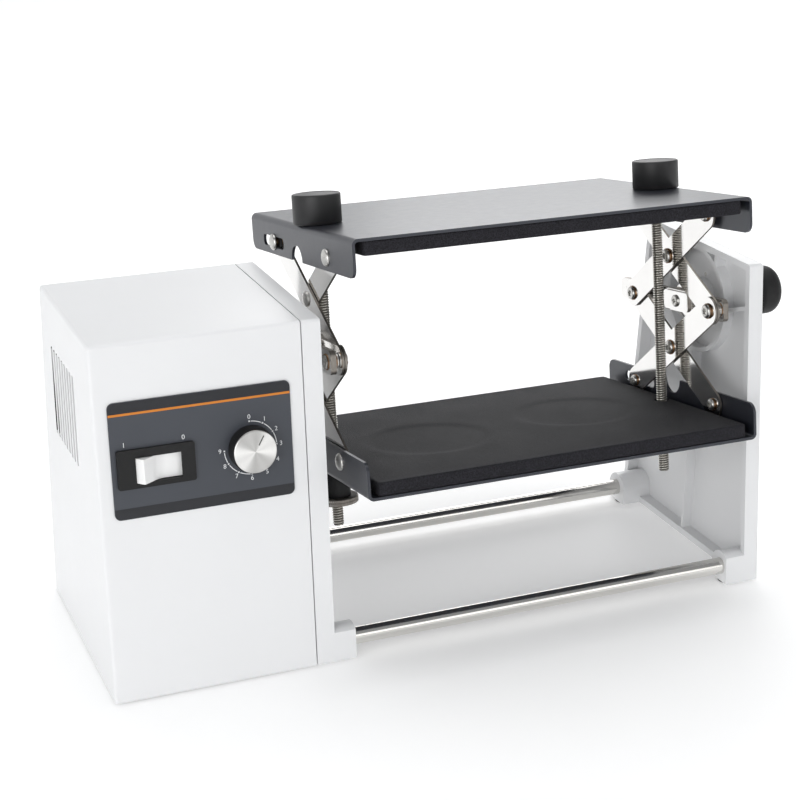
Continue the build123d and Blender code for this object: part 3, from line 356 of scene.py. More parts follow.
def makeDialFace():
    # painted highlight and painted shade: bright and dark sectors round the piece's own centre stand in for
    # the light a sun-ray finish throws back; the fine grooves are bump only
    finish = Finish("sunRayDialPaintedGlint")
    spot = finish.spot()
    across, along, _ = finish.split(spot)
    angle = finish.apply("ARCTAN2", along, across)
    # two broad lobes and a finer sixfold wave of painted highlight, by the angle round the centre
    lobes = finish.apply("COSINE", angle * 2 - 0.5)
    fine = finish.apply("COSINE", angle * 6 + 1.1)
    scratch = finish.noise(finish.stretched(), dialLook["scratch"], 3)
    tone = finish.ramp(0.5 + lobes * 0.32 + fine * 0.12 + scratch * 0.12, dialLook["paintedGlintStops"])
    color = finish.mix(tone, shade(dialLook["dark"], (1, 0.985, 0.95)),
                       shade(dialLook["bright"], (1, 0.99, 0.97)))
    radius = finish.vector("LENGTH", spot, output=1)
    grooves = finish.apply("SINE", radius * dialLook["grooves"])
    roughness = dialLook["gloss"] + scratch * 0.1
    return finish.surface(color, roughness, grooves, depth=0.01, strength=0.3, Metallic=1.0)


def makeMachined(name, low, high, gloss, tint=(1, 1, 1)):
    finish = Finish(name)
    spot = finish.stretched()
    cloud = finish.noise(spot, 80, 4)
    color = finish.mix(cloud, shade(low, tint), shade(high, tint))
    grain = finish.noise(spot, 1200, 2)
    return finish.surface(color, gloss + cloud * 0.15, grain, depth=0.03, strength=0.4, Metallic=1.0)


whitePaint = makeWhitePaint()
shellPaint = makeWhitePaint("shellPaint", midpoint("housing_shell"))
trayPaint = makeTrayPaint()
foamFinish = makeFoam()
sheetSteel = makeSheetSteel()
screwSteel = makeScrewSteel()
barSteel = makeBarSteel()
threadSteel = makeThreadSteel()
blackPlastic = makeMouldedPlastic("blackPlastic", 0.005, 0.009, 0.52, shine=0.35)
knobPlastic = makeMouldedPlastic("knobPlastic", 0.010, 0.016, 0.44, 1500, 0.08)
rockerPlastic = makeMouldedPlastic("rockerPlastic", 0.84, 0.88, 0.24, 900, 0.01, (1, 1, 0.995))
panelFilm = makePanelFilm()
bandInk = makeInk("bandInk", (0.010, 0.0108, 0.015))
orangeInk = makeInk("orangeInk", (0.64, 0.20, 0.012))
whiteInk = makeInk("whiteInk", (0.80, 0.81, 0.82))
pointerInk = makeInk("pointerInk", (0.05, 0.05, 0.05))
dialFace = makeDialFace()
castAluminium = makeMachined("castAluminium", 0.52, 0.64, 0.30)
bronzeMetal = makeMachined("bronzeMetal", 0.24, 0.38, 0.32, (1.0, 0.62, 0.36))
brightBearing = makeMachined("brightBearing", 0.6, 0.7, 0.14)
boardGreen = makeMouldedPlastic("boardGreen", 0.02, 0.06, 0.35)
rubberBlack = makeMouldedPlastic("rubberBlack", 0.012, 0.02, 0.65, 900, 0.1)
report("finishes made")

nodeFinishes = {
    shellPaint: ("housing_shell",),
    whitePaint: ("end_plate", "end_frame"),
    trayPaint: ("upper_tray", "lower_tray"),
    sheetSteel: ("hub_bars", "hub_clamp_plates", "upper_lift_arms", "upper_cross_arms", "lower_lift_arms",
                 "lower_cross_arms", "hub_socket", "base_plate"),
    screwSteel: ("housing_screws", "tie_bar_screws", "drive_screws", "guide_screws", "board_standoffs"),
    barSteel: ("tie_bars", "drive_shaft", "motor_shaft", "locking_pin", "motor_can"),
    blackPlastic: ("switch_body", "power_inlet", "board_parts", "rod_sleeves"),
    rockerPlastic: ("switch_rocker",),
    panelFilm: ("control_panel",),
    castAluminium: ("drive_bracket", "gearbox", "drive_pulley", "motor_pulley", "pin_guide", "potentiometer",
                    "potentiometer_shaft"),
    brightBearing: ("shaft_bearings",),
    boardGreen: ("circuit_board",),
    rubberBlack: ("foot_pads", "drive_belt"),
}
for finish, nodes in nodeFinishes.items():
    for node in nodes:
        mesh = frame["nodes"][node].data
        mesh.materials.clear()
        mesh.materials.append(finish)


# mesh building
def placePiece(name, mesh, body, matrix=None):
    piece = bpy.data.objects.new(name, mesh)
    bpy.context.scene.collection.objects.link(piece)
    if matrix is not None:
        piece.matrix_world = matrix
    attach(piece, body)
    return piece


class Draft:
    # collects closed islands and turns them into one piece
    def __init__(self):
        self.points = []
        self.faces = []

    def add(self, points, faces, matrix=Matrix.Identity(4)):
        start = len(self.points)
        self.points.extend(matrix @ Vector(point) for point in points)
        self.faces.extend(tuple(start + index for index in face) for face in faces)

    def rings(self, points, sides, matrix=Matrix.Identity(4)):
        # a closed tube through equal rings of points, counter-clockwise seen from the last ring
        faces = [tuple(reversed(range(sides))), tuple(range(len(points) - sides, len(points)))]
        for start in range(0, len(points) - sides, sides):
            for side in range(sides):
                after = (side + 1) % sides
                faces.append((start + side, start + after, start + sides + after, start + sides + side))
        self.add(points, faces, matrix)

    def lathe(self, profile, sides, matrix=Matrix.Identity(4), ripple=None):
        # profile runs from the lower middle to the upper middle as (height, radius)
        points = []
        for height, radius in profile:
            for side in range(sides):
                angle = 2 * math.pi * side / sides
                reach = radius + (ripple(angle, height, radius) if ripple else 0)
                points.append((reach * math.cos(angle), reach * math.sin(angle), height))
        self.rings(points, sides, matrix)

    def mesh(self, name):
        made = bpy.data.meshes.new(name)
        made.from_pydata([tuple(point) for point in self.points], [], self.faces)
        return made

    def build(self, name, finish, body, slot, matrix=None, sharp=35):
        mesh = self.mesh(name)
        mesh.validate()
        mesh.polygons.foreach_set("use_smooth", [True] * len(mesh.polygons))
        mesh.set_sharp_from_angle(angle=math.radians(sharp))
        mesh.materials.append(finish)
        return placePiece(name, mesh, body, matrix)


def arcPoints(x, y, radius, start, stop, steps=6):
    # points on an arc, angles in degrees
    angles = [math.radians(start + (stop - start) * step / steps) for step in range(steps + 1)]
    return [(x + radius * math.cos(angle), y + radius * math.sin(angle)) for angle in angles]


def arcProfile(height, radius, bend, start, stop, steps=6):
    # (height, radius) points on a rounded edge, angles in degrees from outward
    return [(y, x) for x, y in arcPoints(radius, height, bend, start, stop, steps)]


def alongX(x, y, z, side):
    # a frame whose own z runs inward from the outer end of a pin
    return Matrix.Translation((x, y, z)) @ Matrix.Rotation(math.radians(-90 * side), 4, "Y")


def titled(node):
    return node.title().replace("_", "")


# fasteners of the linkage
def domedHead(draft, matrix, height, radius):
    profile = [(0, tip)]
    for step in range(1, 7):
        lean = math.pi / 2 * step / 6
        profile.append((height * 0.8 * (1 - math.cos(lean)), radius * math.sin(lean)))
    draft.lathe(profile + [(height, radius), (height, tip)], 32, matrix)


def roundStep(draft, matrix, start, stop, radius, edge=0.15 * mm):
    profile = [(start, tip), (start, radius - edge), (start + edge, radius),
               (stop - edge, radius), (stop, radius - edge), (stop, tip)]
    draft.lathe(profile, 32, matrix)


hexHead = {"washer": 0.22, "nut": 0.84, "corner": 0.94, "bevel": 0.25 * mm, "turn": 0.7356}


def hexNut(draft, bronze, matrix, height, radius):
    # a bronze washer, a chamfered hexagon turned at an angle on it, and the rounded end of the screw
    washer = height * hexHead["washer"]
    stop = washer + (height - washer) * hexHead["nut"]
    corner, bevel = radius * hexHead["corner"], hexHead["bevel"]
    turned = matrix @ Matrix.Rotation(hexHead["turn"], 4, "Z")
    roundStep(bronze, matrix, 0, washer, radius, 0.08 * mm)
    draft.lathe([(washer, tip), (washer, corner - bevel), (washer + bevel, corner), (stop - bevel, corner),
                 (stop, corner - 2 * bevel), (stop, tip)], 6, turned)
    roundStep(draft, matrix, stop - 0.1 * mm, height, radius * 0.5, 0.3 * mm)


button = {"washer": 0.28, "slim": 0.92, "edge": 0.15, "floor": 0.3, "mouth": 0.52, "lobe": 0.26, "lobes": 6}


def buttonHead(draft, bronze, matrix, start, height, radius):
    # a bronze washer under a button head with a lobed recess, which faces away from the start
    seat = start + height * button["washer"]
    roundStep(bronze, matrix, start, seat, radius, 0.08 * mm)
    height, radius = height * (1 - button["washer"]), radius * button["slim"]
    floor, mouth, edge = seat + height * button["floor"], radius * button["mouth"], button["edge"]
    profile = [(seat, tip), (seat, radius * 0.95), (seat + height * edge, radius)]
    for step in range(1, 6):
        lean = math.radians(80 * step / 5)
        profile.append((seat + height * (edge + (1 - edge) * math.sin(lean)),
                        mouth + (radius - mouth) * math.cos(lean) ** 0.7))
    profile += [(seat + height, mouth), (floor, mouth * 0.9), (floor, tip)]

    def recess(angle, h, r):
        lobe = button["lobe"] * r * (0.5 + 0.5 * math.cos(button["lobes"] * angle))
        return -lobe if r <= mouth and h >= floor else 0

    draft.lathe(profile, 48, matrix, recess)


# millimetres from the outer end of each pin: head is (height, radius), nut is (start, height, radius),
# spacer and glide are (start, stop, radius)
pins = {
    "front_pivot_pins": {"body": "carriage", "form": "hex", "head": (2.2, 5.5), "shank": 3.0,
                         "nut": (13.7, 2.6, 5.5), "spacer": (6.2, 9.5, 5.2)},
    "rear_pivot_pins": {"body": "upper_cross", "form": "hex", "head": (2.2, 5.5), "shank": 3.05,
                        "nut": (13.7, 2.6, 5.5)},
    "upper_centre_pins": {"body": "upper_lift", "form": "dome", "head": (2.2, 5.5), "shank": 3.0,
                          "nut": (6.1, 2.6, 5.5)},
    "lower_centre_pins": {"body": "lower_lift", "form": "dome", "head": (2.2, 5.5), "shank": 3.0,
                          "nut": (6.1, 2.6, 5.5)},
    "upper_tray_bolts": {"body": "upper_clamp", "form": "dome", "head": (2.8, 5.8), "shank": 3.0,
                         "nut": (9.3, 2.6, 4.5), "spacer": (4.8, 7.1, 4.5)},
    "lower_tray_bolts": {"body": "lower_clamp", "form": "dome", "head": (2.8, 5.8), "shank": 3.0,
                         "nut": (7.3, 2.6, 4.5), "spacer": (4.8, 5.1, 4.5)},
    "upper_slot_pins": {"body": "upper_lift", "form": "dome", "head": (2.8, 5.8), "shank": 3.05,
                        "nut": (7.3, 2.6, 4.5), "glide": (5.15, 5.65, 8.5)},
    "lower_slot_pins": {"body": "lower_lift", "form": "dome", "head": (2.8, 5.8), "shank": 3.05,
                        "nut": (9.3, 2.6, 4.5), "spacer": (5.6, 7.7, 4.5), "glide": (5.15, 5.6, 8.5)},
}
slotBush = 3.25 * mm


def makePins(node, facts):
    low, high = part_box(node)
    middle = midpoint(node)
    steel, bronze, glides = Draft(), Draft(), Draft()
    headHeight, headRadius = (value * mm for value in facts["head"])
    nutStart, nutHeight, nutRadius = (value * mm for value in facts["nut"])
    for side, x in ((-1, low.x), (1, high.x)):
        matrix = alongX(x, middle.y, middle.z, side)
        if facts["form"] == "dome":
            domedHead(steel, matrix, headHeight, headRadius)
        else:
            outward = Matrix.Translation((0, 0, headHeight)) @ Matrix.Rotation(math.pi, 4, "X")
            hexNut(steel, bronze, matrix @ outward, headHeight, headRadius)
        roundStep(steel, matrix, headHeight, nutStart, facts["shank"] * mm, tip)
        buttonHead(steel, bronze, matrix, nutStart, nutHeight, nutRadius)
        if "glide" in facts:                               # bronze bush in the slot, black washer behind it
            start, stop, radius = (value * mm for value in facts["glide"])
            roundStep(bronze, matrix, headHeight, start, slotBush, 0.1 * mm)
            roundStep(glides, matrix, start, stop, radius, 0.08 * mm)
        if "spacer" in facts:                              # a bronze washer between two steel ones
            start, stop, radius = (value * mm for value in facts["spacer"])
            step = (stop - start) / 3
            for index, draft in enumerate((steel, bronze, steel)):
                roundStep(draft, matrix, start + index * step, start + (index + 1) * step, radius, 0.12 * mm)
    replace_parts(steel.build(titled(node) + "Set", screwSteel, facts["body"], "zinc_screw", sharp=30), node)
    bronze.build(titled(node) + "Washers", bronzeMetal, facts["body"], "zinc_screw", sharp=30)
    if "glide" in facts:
        glides.build(titled(node) + "Glides", blackPlastic, facts["body"], "black_plastic", sharp=30)


hubScrew = {"shank": 2.5, "seat": 7.0, "head": 1.6, "rim": 4.5, "recess": 1.1, "lobe": 0.3, "lobes": 4}


def makeHubScrews():
    # pan heads with a cross recess, at both ends of the turning axis
    seat, head, rim = hubScrew["seat"] * mm, hubScrew["head"] * mm, hubScrew["rim"] * mm
    top, mouth = seat + head, rim * 0.5
    floor = top - hubScrew["recess"] * mm
    profile = [(seat, tip), (seat, rim), (seat + head * 0.45, rim), (seat + head * 0.85, rim * 0.86),
               (top, rim * 0.62), (top, mouth), (floor, rim * 0.42), (floor, tip)]

    def recess(angle, h, r):
        lobe = hubScrew["lobe"] * r * (0.5 - 0.5 * math.cos(hubScrew["lobes"] * angle))
        return -lobe if r <= mouth and h >= floor else 0

    draft = Draft()
    low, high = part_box("hub_screws")
    for side, x in ((-1, low.x), (1, high.x)):
        matrix = alongX(x, spinAxis.y, spinAxis.z, side)
        roundStep(draft, matrix, 0, seat, hubScrew["shank"] * mm, 0.2 * mm)
        draft.lathe(profile, 48, matrix, recess)
    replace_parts(draft.build("HubScrewSet", screwSteel, "carriage", "zinc_screw"), "hub_screws")


for node, facts in pins.items():
    makePins(node, facts)
makeHubScrews()
report("fasteners made")


# threaded rods
thread = {"pitch": 1.75, "radius": 4.0, "depth": 0.7, "perTurn": 8, "sides": 20, "taper": 1.2}


def makeRod(node, body):
    low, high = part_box(node)
    pitch, full, depth = thread["pitch"] * mm, thread["radius"] * mm, thread["depth"] * mm
    length = ((high - low).z - 2 * full * abs(carriageUp.y)) / carriageUp.z
    taper, sides = thread["taper"] * mm, thread["sides"]
    rows = int(length / pitch * thread["perTurn"])
    points = []
    for row in range(rows + 1):
        height = length * row / rows
        fade = min(1, height / taper, (length - height) / taper)
        for side in range(sides):
            angle = 2 * math.pi * side / sides
            phase = (height / pitch - side / sides) % 1
            ridge = min(1, max(0, 1.5 - 4 * abs(phase - 0.5)))
            radius = full - depth + depth * ridge * fade
            points.append((radius * math.cos(angle), radius * math.sin(angle), height - length / 2))
    draft = Draft()
    draft.rings(points, sides)
    matrix = Matrix.Translation(midpoint(node)) @ carriageTurn
    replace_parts(draft.build(titled(node), threadSteel, body, "bar_steel", matrix, sharp=60), node)


makeRod("left_threaded_rod", "left_knob")
makeRod("right_threaded_rod", "right_knob")
report("rods threaded")


# clamp knobs, threaded discs, pull knob and its spring
knob = {"radius": 16.5, "height": 20.0, "edge": 1.2, "foot": 0.5, "inset": 2.6, "groove": 0.35, "sink": 0.25}


def makeKnob(node, body):
    radius, height, edge = knob["radius"] * mm, knob["height"] * mm, knob["edge"] * mm
    foot, sink, inner = knob["foot"] * mm, knob["sink"] * mm, (knob["radius"] - knob["inset"]) * mm
    profile = [(0, foot), (0, radius - foot), (foot, radius)]
    profile += arcProfile(height - edge, radius - edge, edge, 0, 90)
    profile += [(height, inner + foot), (height - knob["groove"] * mm, inner),
                (height - sink, inner - 0.4 * mm), (height - sink * 0.4, inner * 0.5),
                (height - sink * 0.3, foot)]
    draft = Draft()
    draft.lathe(profile, 96)
    matrix = Matrix.Translation(midpoint(node) - carriageUp * height / 2) @ carriageTurn
    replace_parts(draft.build(titled(node), knobPlastic, body, "black_plastic", matrix, sharp=50), node)


disc = {"radius": 15.0, "height": 5.0, "bore": 4.1, "rim": 0.7, "seam": 0.3, "teeth": 72, "groove": 0.22}


def makeDiscs():
    # knurled discs with a fine seam halfway up
    radius, height, bore = disc["radius"] * mm, disc["height"] * mm, disc["bore"] * mm
    rim, seam = disc["rim"] * mm, disc["seam"] * mm
    profile = [(0, bore), (0, radius - rim), (rim, radius), (height * 0.45, radius),
               (height * 0.5, radius - seam), (height * 0.55, radius), (height - rim, radius),
               (height, radius - rim), (height, bore)]

    def knurl(angle, h, r):
        return -disc["groove"] * mm * (0.5 + 0.5 * math.cos(disc["teeth"] * angle)) if r == radius else 0

    draft = Draft()
    low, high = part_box("threaded_discs")
    middle = midpoint("threaded_discs")
    for x in (low.x + radius, high.x - radius):
        place = Matrix.Translation(Vector((x, middle.y, middle.z)) - carriageUp * height / 2)
        draft.lathe(profile, disc["teeth"] * 4, place @ carriageTurn, knurl)
    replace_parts(draft.build("ThreadedDiscs", sheetSteel, "lower_clamp", "stainless"), "threaded_discs")


pull = {"radius": 18.0, "length": 22.0, "dome": 8.0, "waist": 13.5, "neck": 5.0, "bore": 3.1, "edge": 0.8}


def makePullKnob():
    low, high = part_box("pull_knob")
    middle = midpoint("pull_knob")
    length, radius, dome = pull["length"] * mm, pull["radius"] * mm, pull["dome"] * mm
    waist, neck, edge = pull["waist"] * mm, pull["neck"] * mm, pull["edge"] * mm
    profile = [(0, pull["bore"] * mm), (0, waist - edge), (edge, waist), (neck * 0.6, waist),
               (neck, radius - 1.2 * mm), (neck + 1.0 * mm, radius - 0.2 * mm), (neck + 2.0 * mm, radius)]
    profile += arcProfile(length - dome, radius - dome, dome, 0, 84, 10) + [(length, 0.5 * mm)]
    draft = Draft()
    draft.lathe(profile, 96)
    matrix = Matrix.Translation((low.x, middle.y, middle.z)) @ Matrix.Rotation(math.radians(90), 4, "Y")
    piece = draft.build("PullKnob", blackPlastic, "lock_pin", "black_plastic", matrix, sharp=50)
    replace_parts(piece, "pull_knob")


spring = {"wire": 0.7, "radius": 6.4, "turns": 6.5, "stepsPerTurn": 28, "sides": 8, "ends": 0.06,
          "keep": 0.45}


def makeSpring():
    # a coil along x whose turns lie closer at both ends
    low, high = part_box("pin_spring")
    middle = midpoint("pin_spring")
    wire, sides = spring["wire"] * mm, spring["sides"]
    count = int(spring["turns"] * spring["stepsPerTurn"])
    reach = high.x - low.x - 2 * wire
    points = []
    for step in range(count + 1):
        share = step / count
        eased = share + spring["ends"] * math.sin(2 * math.pi * share)
        angle = 2 * math.pi * spring["turns"] * share
        for side in range(sides):
            turn = -2 * math.pi * side / sides
            out = spring["radius"] * mm + wire * math.cos(turn)
            points.append((low.x + wire + reach * eased + wire * math.sin(turn),
                           middle.y + out * math.cos(angle), middle.z + out * math.sin(angle)))
    draft = Draft()
    draft.rings(points, sides)
    piece = draft.build("PinSpring", barSteel, "base", "bar_steel", sharp=60)
    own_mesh(piece)
    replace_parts(piece, "pin_spring")


makeKnob("left_clamp_knob", "left_knob")
makeKnob("right_clamp_knob", "right_knob")
makeDiscs()
makePullKnob()
makeSpring()
report("knobs, discs and spring made")


# foam pads; each mark is a vessel's shallow impression as (x, y, radius, depth)
foam = {"length": 273.0, "depth": 207.0, "thickness": 9.5, "edge": 1.3, "corner": 3.0, "cell": 3.0,
        "hole": 5.5, "holeReach": 129.5, "crown": 0.25, "ripple": 0.12,
        "waves": ((0.11, 0.05), (-0.04, 0.13)), "markSlope": 1.4, "border": 6, "overcut": 2,
        "lowerMarks": [(-62, -8, 43, 0.9), (60, 6, 43, 0.9)],
        "upperMarks": [(-62, -8, 17, 0.5), (60, 6, 17, 0.5)]}


def padStations(half):
    # close together at the rounded edge, even in between
    edge = foam["edge"]
    border = [0, 0.1, 0.35, 0.75, edge]
    inside = int((2 * half - 2 * edge) / foam["cell"])
    between = [edge + (2 * half - 2 * edge) * index / inside for index in range(1, inside)]
    return [value - half for value in border + between] + [half - value for value in reversed(border)]


def edgeDrop(distance):
    edge = foam["edge"]
    if distance >= edge:
        return 0.0
    return edge - math.sqrt(max(0.0, edge ** 2 - (edge - distance) ** 2))


def roundCorner(x, y):
    cornerX, cornerY = foam["length"] / 2 - foam["corner"], foam["depth"] / 2 - foam["corner"]
    dx, dy = abs(x) - cornerX, abs(y) - cornerY
    if dx <= 0 or dy <= 0:
        return x, y
    scale = max(dx, dy) / math.hypot(dx, dy)
    return math.copysign(cornerX + dx * scale, x), math.copysign(cornerY + dy * scale, y)


def usedFace(x, y, marks):
    # how far the worn face lies above or below a flat one
    value = foam["ripple"] * sum(math.sin(x * a + y * b) for a, b in foam["waves"]) / 2
    for markX, markY, radius, sink in marks:
        gap = math.hypot(x - markX, y - markY) - radius
        value -= sink / (1 + math.exp(min(40, gap / foam["markSlope"])))
    fall = (2 * x / foam["length"]) ** 2 + (2 * y / foam["depth"]) ** 2
    return value - foam["ripple"] - foam["crown"] * fall / 2


def padPoints(across, along, marks):
    # the flat face against the tray, then the worn face
    points = []
    for worn in (False, True):
        for y in along:
            for x in across:
                inset = min(foam["length"] / 2 - abs(x), foam["depth"] / 2 - abs(y))
                z = edgeDrop(inset)
                if worn:
                    z = foam["thickness"] - z + usedFace(x, y, marks) * min(1, inset / foam["border"])
                px, py = roundCorner(x, y)
                points.append((px * mm, py * mm, z * mm))
    return points


def padFaces(columns, rows):
    size = columns * rows
    faces = []
    for row in range(rows - 1):
        for column in range(columns - 1):
            a = row * columns + column
            faces.append((a, a + columns, a + columns + 1, a + 1))
            faces.append((size + a, size + a + 1, size + a + columns + 1, size + a + columns))
    ring = list(range(columns)) + [row * columns + columns - 1 for row in range(1, rows)]
    ring += [(rows - 1) * columns + column for column in range(columns - 2, -1, -1)]
    ring += [row * columns for row in range(rows - 2, 0, -1)]
    for a, b in zip(ring, ring[1:] + ring[:1]):
        faces.append((a, b, size + b, size + a))
    return faces


def cutHoles(piece):
    # the two holes that the threaded rods pass through
    draft = Draft()
    for side in (-1, 1):
        place = Matrix.Translation((side * foam["holeReach"] * mm, 0, -foam["overcut"] * mm))
        height = (foam["thickness"] + 2 * foam["overcut"]) * mm
        draft.lathe([(0, foam["hole"] * mm), (height, foam["hole"] * mm)], 40, place)
    cutter = bpy.data.objects.new("cutter", draft.mesh("cutter"))
    bpy.context.scene.collection.objects.link(cutter)
    cutter.matrix_world = piece.matrix_world
    change = piece.modifiers.new("rodHoles", "BOOLEAN")
    change.operation = "DIFFERENCE"
    change.solver = "EXACT"
    change.object = cutter
    bpy.context.view_layer.update()
    cut = bpy.data.meshes.new_from_object(piece.evaluated_get(bpy.context.evaluated_depsgraph_get()))
    piece.modifiers.clear()
    piece.data = cut
    bpy.data.objects.remove(cutter)


def makePad(node, name, body, facing, marks):
    # facing is 1 where the used side looks up along the rods, -1 where it looks down
    across, along = padStations(foam["length"] / 2), padStations(foam["depth"] / 2)
    draft = Draft()
    draft.add(padPoints(across, along, marks), padFaces(len(across), len(along)))
    turn = carriageTurn if facing > 0 else carriageTurn @ Matrix.Rotation(math.pi, 4, "X")
    start = midpoint(node) - carriageUp * (facing * foam["thickness"] / 2 * mm)
    piece = draft.build(name, foamFinish, body, "foam", Matrix.Translation(start) @ turn, sharp=60)
    cutHoles(piece)
    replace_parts(piece, node)


makePad("lower_foam_pad", "LowerFoamPad", "lower_clamp", 1, foam["lowerMarks"])
makePad("upper_foam_pad", "UpperFoamPad", "upper_clamp", -1, foam["upperMarks"])
report("foam pads made")


# speed dial; base is the film and the running gap below it, rest is where the pointer stands
dial = {"radius": 15.0, "height": 9.6, "bore": 4.9, "flutes": 60, "flute": 0.18, "capRadius": 14.1,
        "cap": 0.9, "base": 1.4, "rest": 30}
dialMiddle = Vector(joints["speed_dial_turn"]["pos_m"])


def onDial(height):
    return Matrix.Translation(dialMiddle + panelOut * height * mm) @ panelTurn


def makeDial():
    radius, height = dial["radius"] * mm, dial["height"] * mm
    profile = [(0, dial["bore"] * mm), (0, radius - 0.3 * mm), (0.3 * mm, radius),
               (height - 0.5 * mm, radius - 0.35 * mm), (height - 0.15 * mm, radius - 0.5 * mm),
               (height, radius - 0.8 * mm), (height, 1 * mm)]

    def ribs(angle, h, r):
        depth = dial["flute"] * mm * (0.5 + 0.5 * math.cos(dial["flutes"] * angle))
        return -depth if r > radius - 0.4 * mm else 0

    draft = Draft()
    draft.lathe(profile, dial["flutes"] * 4, ripple=ribs)
    piece = draft.build("SpeedDialBody", blackPlastic, "dial", "black_plastic", onDial(dial["base"]))
    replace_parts(piece, "speed_dial")

    radius, cap = dial["capRadius"] * mm, dial["cap"] * mm
    draft = Draft()
    draft.lathe([(0, 0.3 * mm), (0, radius), (cap * 0.55, radius), (cap * 0.9, radius - 0.35 * mm),
                 (cap, radius - 0.6 * mm), (cap, radius * 0.5), (cap, 0.3 * mm)], 96)
    place = onDial(dial["base"] + dial["height"])
    piece = draft.build("SpeedDialCap", dialFace, "dial", "dial_metal", place, sharp=50)
    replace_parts(piece, "speed_dial_cap")


makeDial()
report("speed dial made")


# printed marks on the panel, in millimetres from its middle
panelSheet = 1.0
panelLow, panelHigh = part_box("control_panel")
panelMiddle = midpoint("control_panel")
panelWidth = (panelHigh.x - panelLow.x) / mm
panelTall = ((panelHigh.z - panelLow.z) / mm - panelSheet * abs(panelOut.z)) / panelUp.z
dialRight = (dialMiddle.x - panelMiddle.x) / mm
dialUp = (dialMiddle - panelMiddle).dot(panelUp) / mm
ink = 0.04                                                 # thickness of a printed mark
inkLift = 0.03                                             # height of the middle of a printed letter


def onPanel(right, up):
    # a place on the outer face of the panel film
    offset = acrossX * right * mm + panelUp * up * mm + panelOut * panelSheet / 2 * mm
    return Matrix.Translation(panelMiddle + offset) @ panelTurn


def patchOutline(half, top, bottom, corner, roundTop=True, roundBottom=True):
    # a straight-sided patch with round or square corners
    outline = []
    for signX, signY, start in ((1, 1, 0), (-1, 1, 90), (-1, -1, 180), (1, -1, 270)):
        edge, rounded = (top, roundTop) if signY > 0 else (bottom, roundBottom)
        if rounded:
            outline += arcPoints(signX * (half - corner), edge - signY * corner, corner, start, start + 90)
        else:
            outline.append((signX * half, edge))
    return outline


def printPatch(name, outline, matrix, finish, body, slot, lift=0.0, thickness=ink):
    points = [(x * mm, y * mm, z * mm) for z in (lift, lift + thickness) for x, y in outline]
    draft = Draft()
    draft.rings(points, len(outline), matrix)
    draft.build(name, finish, body, slot)


bands = {"margin": 0.25, "top": 7.05, "line": 1.5, "bottom": 7.0, "corner": 3.8}


def printBand(name, top, bottom, finish, roundTop=False, roundBottom=False):
    # a band across the panel whose outer corners follow the film's own corners
    half = panelWidth / 2 - bands["margin"]
    outline = patchOutline(half, top, bottom, bands["corner"], roundTop, roundBottom)
    printPatch(name, outline, onPanel(0, 0), finish, "base", "panel_film")


edgeUp = panelTall / 2 - bands["margin"]
lineUp = edgeUp - bands["top"]
printBand("PanelTopBand", edgeUp, lineUp, bandInk, roundTop=True)
printBand("PanelOrangeLine", lineUp, lineUp - bands["line"], orangeInk)
printBand("PanelBottomBand", bands["bottom"] - edgeUp, -edgeUp, bandInk, roundBottom=True)


def printText(name, text, right, up, size):
    curve = bpy.data.curves.new(name, "FONT")
    curve.body = text
    curve.size = size * mm
    curve.align_x = "CENTER"
    curve.align_y = "CENTER"
    curve.extrude = ink / 2 * mm
    letter = bpy.data.objects.new(name, curve)
    bpy.context.scene.collection.objects.link(letter)
    bpy.context.view_layer.update()
    mesh = bpy.data.meshes.new_from_object(letter.evaluated_get(bpy.context.evaluated_depsgraph_get()))
    bpy.data.objects.remove(letter)
    mesh.materials.clear()
    mesh.materials.append(whiteInk)
    matrix = onPanel(right, up) @ Matrix.Translation((0, 0, inkLift * mm))
    placePiece(name, mesh, "base", matrix)


# a figure every step degrees, a dot under each and arcs between some of them
scale = {"radius": 20.3, "size": 4.2, "step": 30, "figures": 10, "arcRadius": 17.4, "arcWidth": 0.55,
         "arcGap": 3.5, "arcsAfter": (0, 1, 2, 6, 7, 8), "dotWidth": 1.0, "dotReach": 1.6, "stepAngle": 3}


def ringSector(draft, width, start, stop):
    steps = max(2, int((stop - start) / scale["stepAngle"]))
    points, faces = [], []
    for step in range(steps + 1):
        angle = math.radians(start + (stop - start) * step / steps)
        for radius in (scale["arcRadius"] - width / 2, scale["arcRadius"] + width / 2):
            for z in (0, ink):
                points.append((radius * math.sin(angle) * mm, radius * math.cos(angle) * mm, z * mm))
    for a in range(0, 4 * steps, 4):
        b = a + 4
        faces += [(a + 1, b + 1, b + 3, a + 3), (a, a + 2, b + 2, b),
                  (a, b, b + 1, a + 1), (a + 2, a + 3, b + 3, b + 2)]
    end = 4 * steps
    faces += [(0, 1, 3, 2), (end, end + 2, end + 3, end + 1)]
    draft.add(points, faces, onPanel(dialRight, dialUp))


def printScale():
    draft = Draft()
    for number in scale["arcsAfter"]:
        start = scale["step"] * number
        ringSector(draft, scale["arcWidth"], start + scale["arcGap"], start + scale["step"] - scale["arcGap"])
    for number in range(scale["figures"]):
        turn = scale["step"] * number
        ringSector(draft, scale["dotWidth"], turn - scale["dotReach"], turn + scale["dotReach"])
        angle = math.radians(turn)
        printText(f"DialMark{number}", str(number), dialRight + scale["radius"] * math.sin(angle),
                  dialUp + scale["radius"] * math.cos(angle), scale["size"])
    draft.build("DialScaleArcs", whiteInk, "base", "panel_film")


switchMarks = {"on": -19.5, "off": 18.5, "up": 16.8, "size": 4.4}
switchRight = (midpoint("switch_body").x - panelMiddle.x) / mm
rockerUp = (Vector(joints["switch_tilt"]["pos_m"]) - panelMiddle).dot(panelUp) / mm
pointer = {"start": 4.6, "stop": 11.6, "width": 0.8, "corner": 0.3, "sunk": 0.01, "thickness": 0.03}


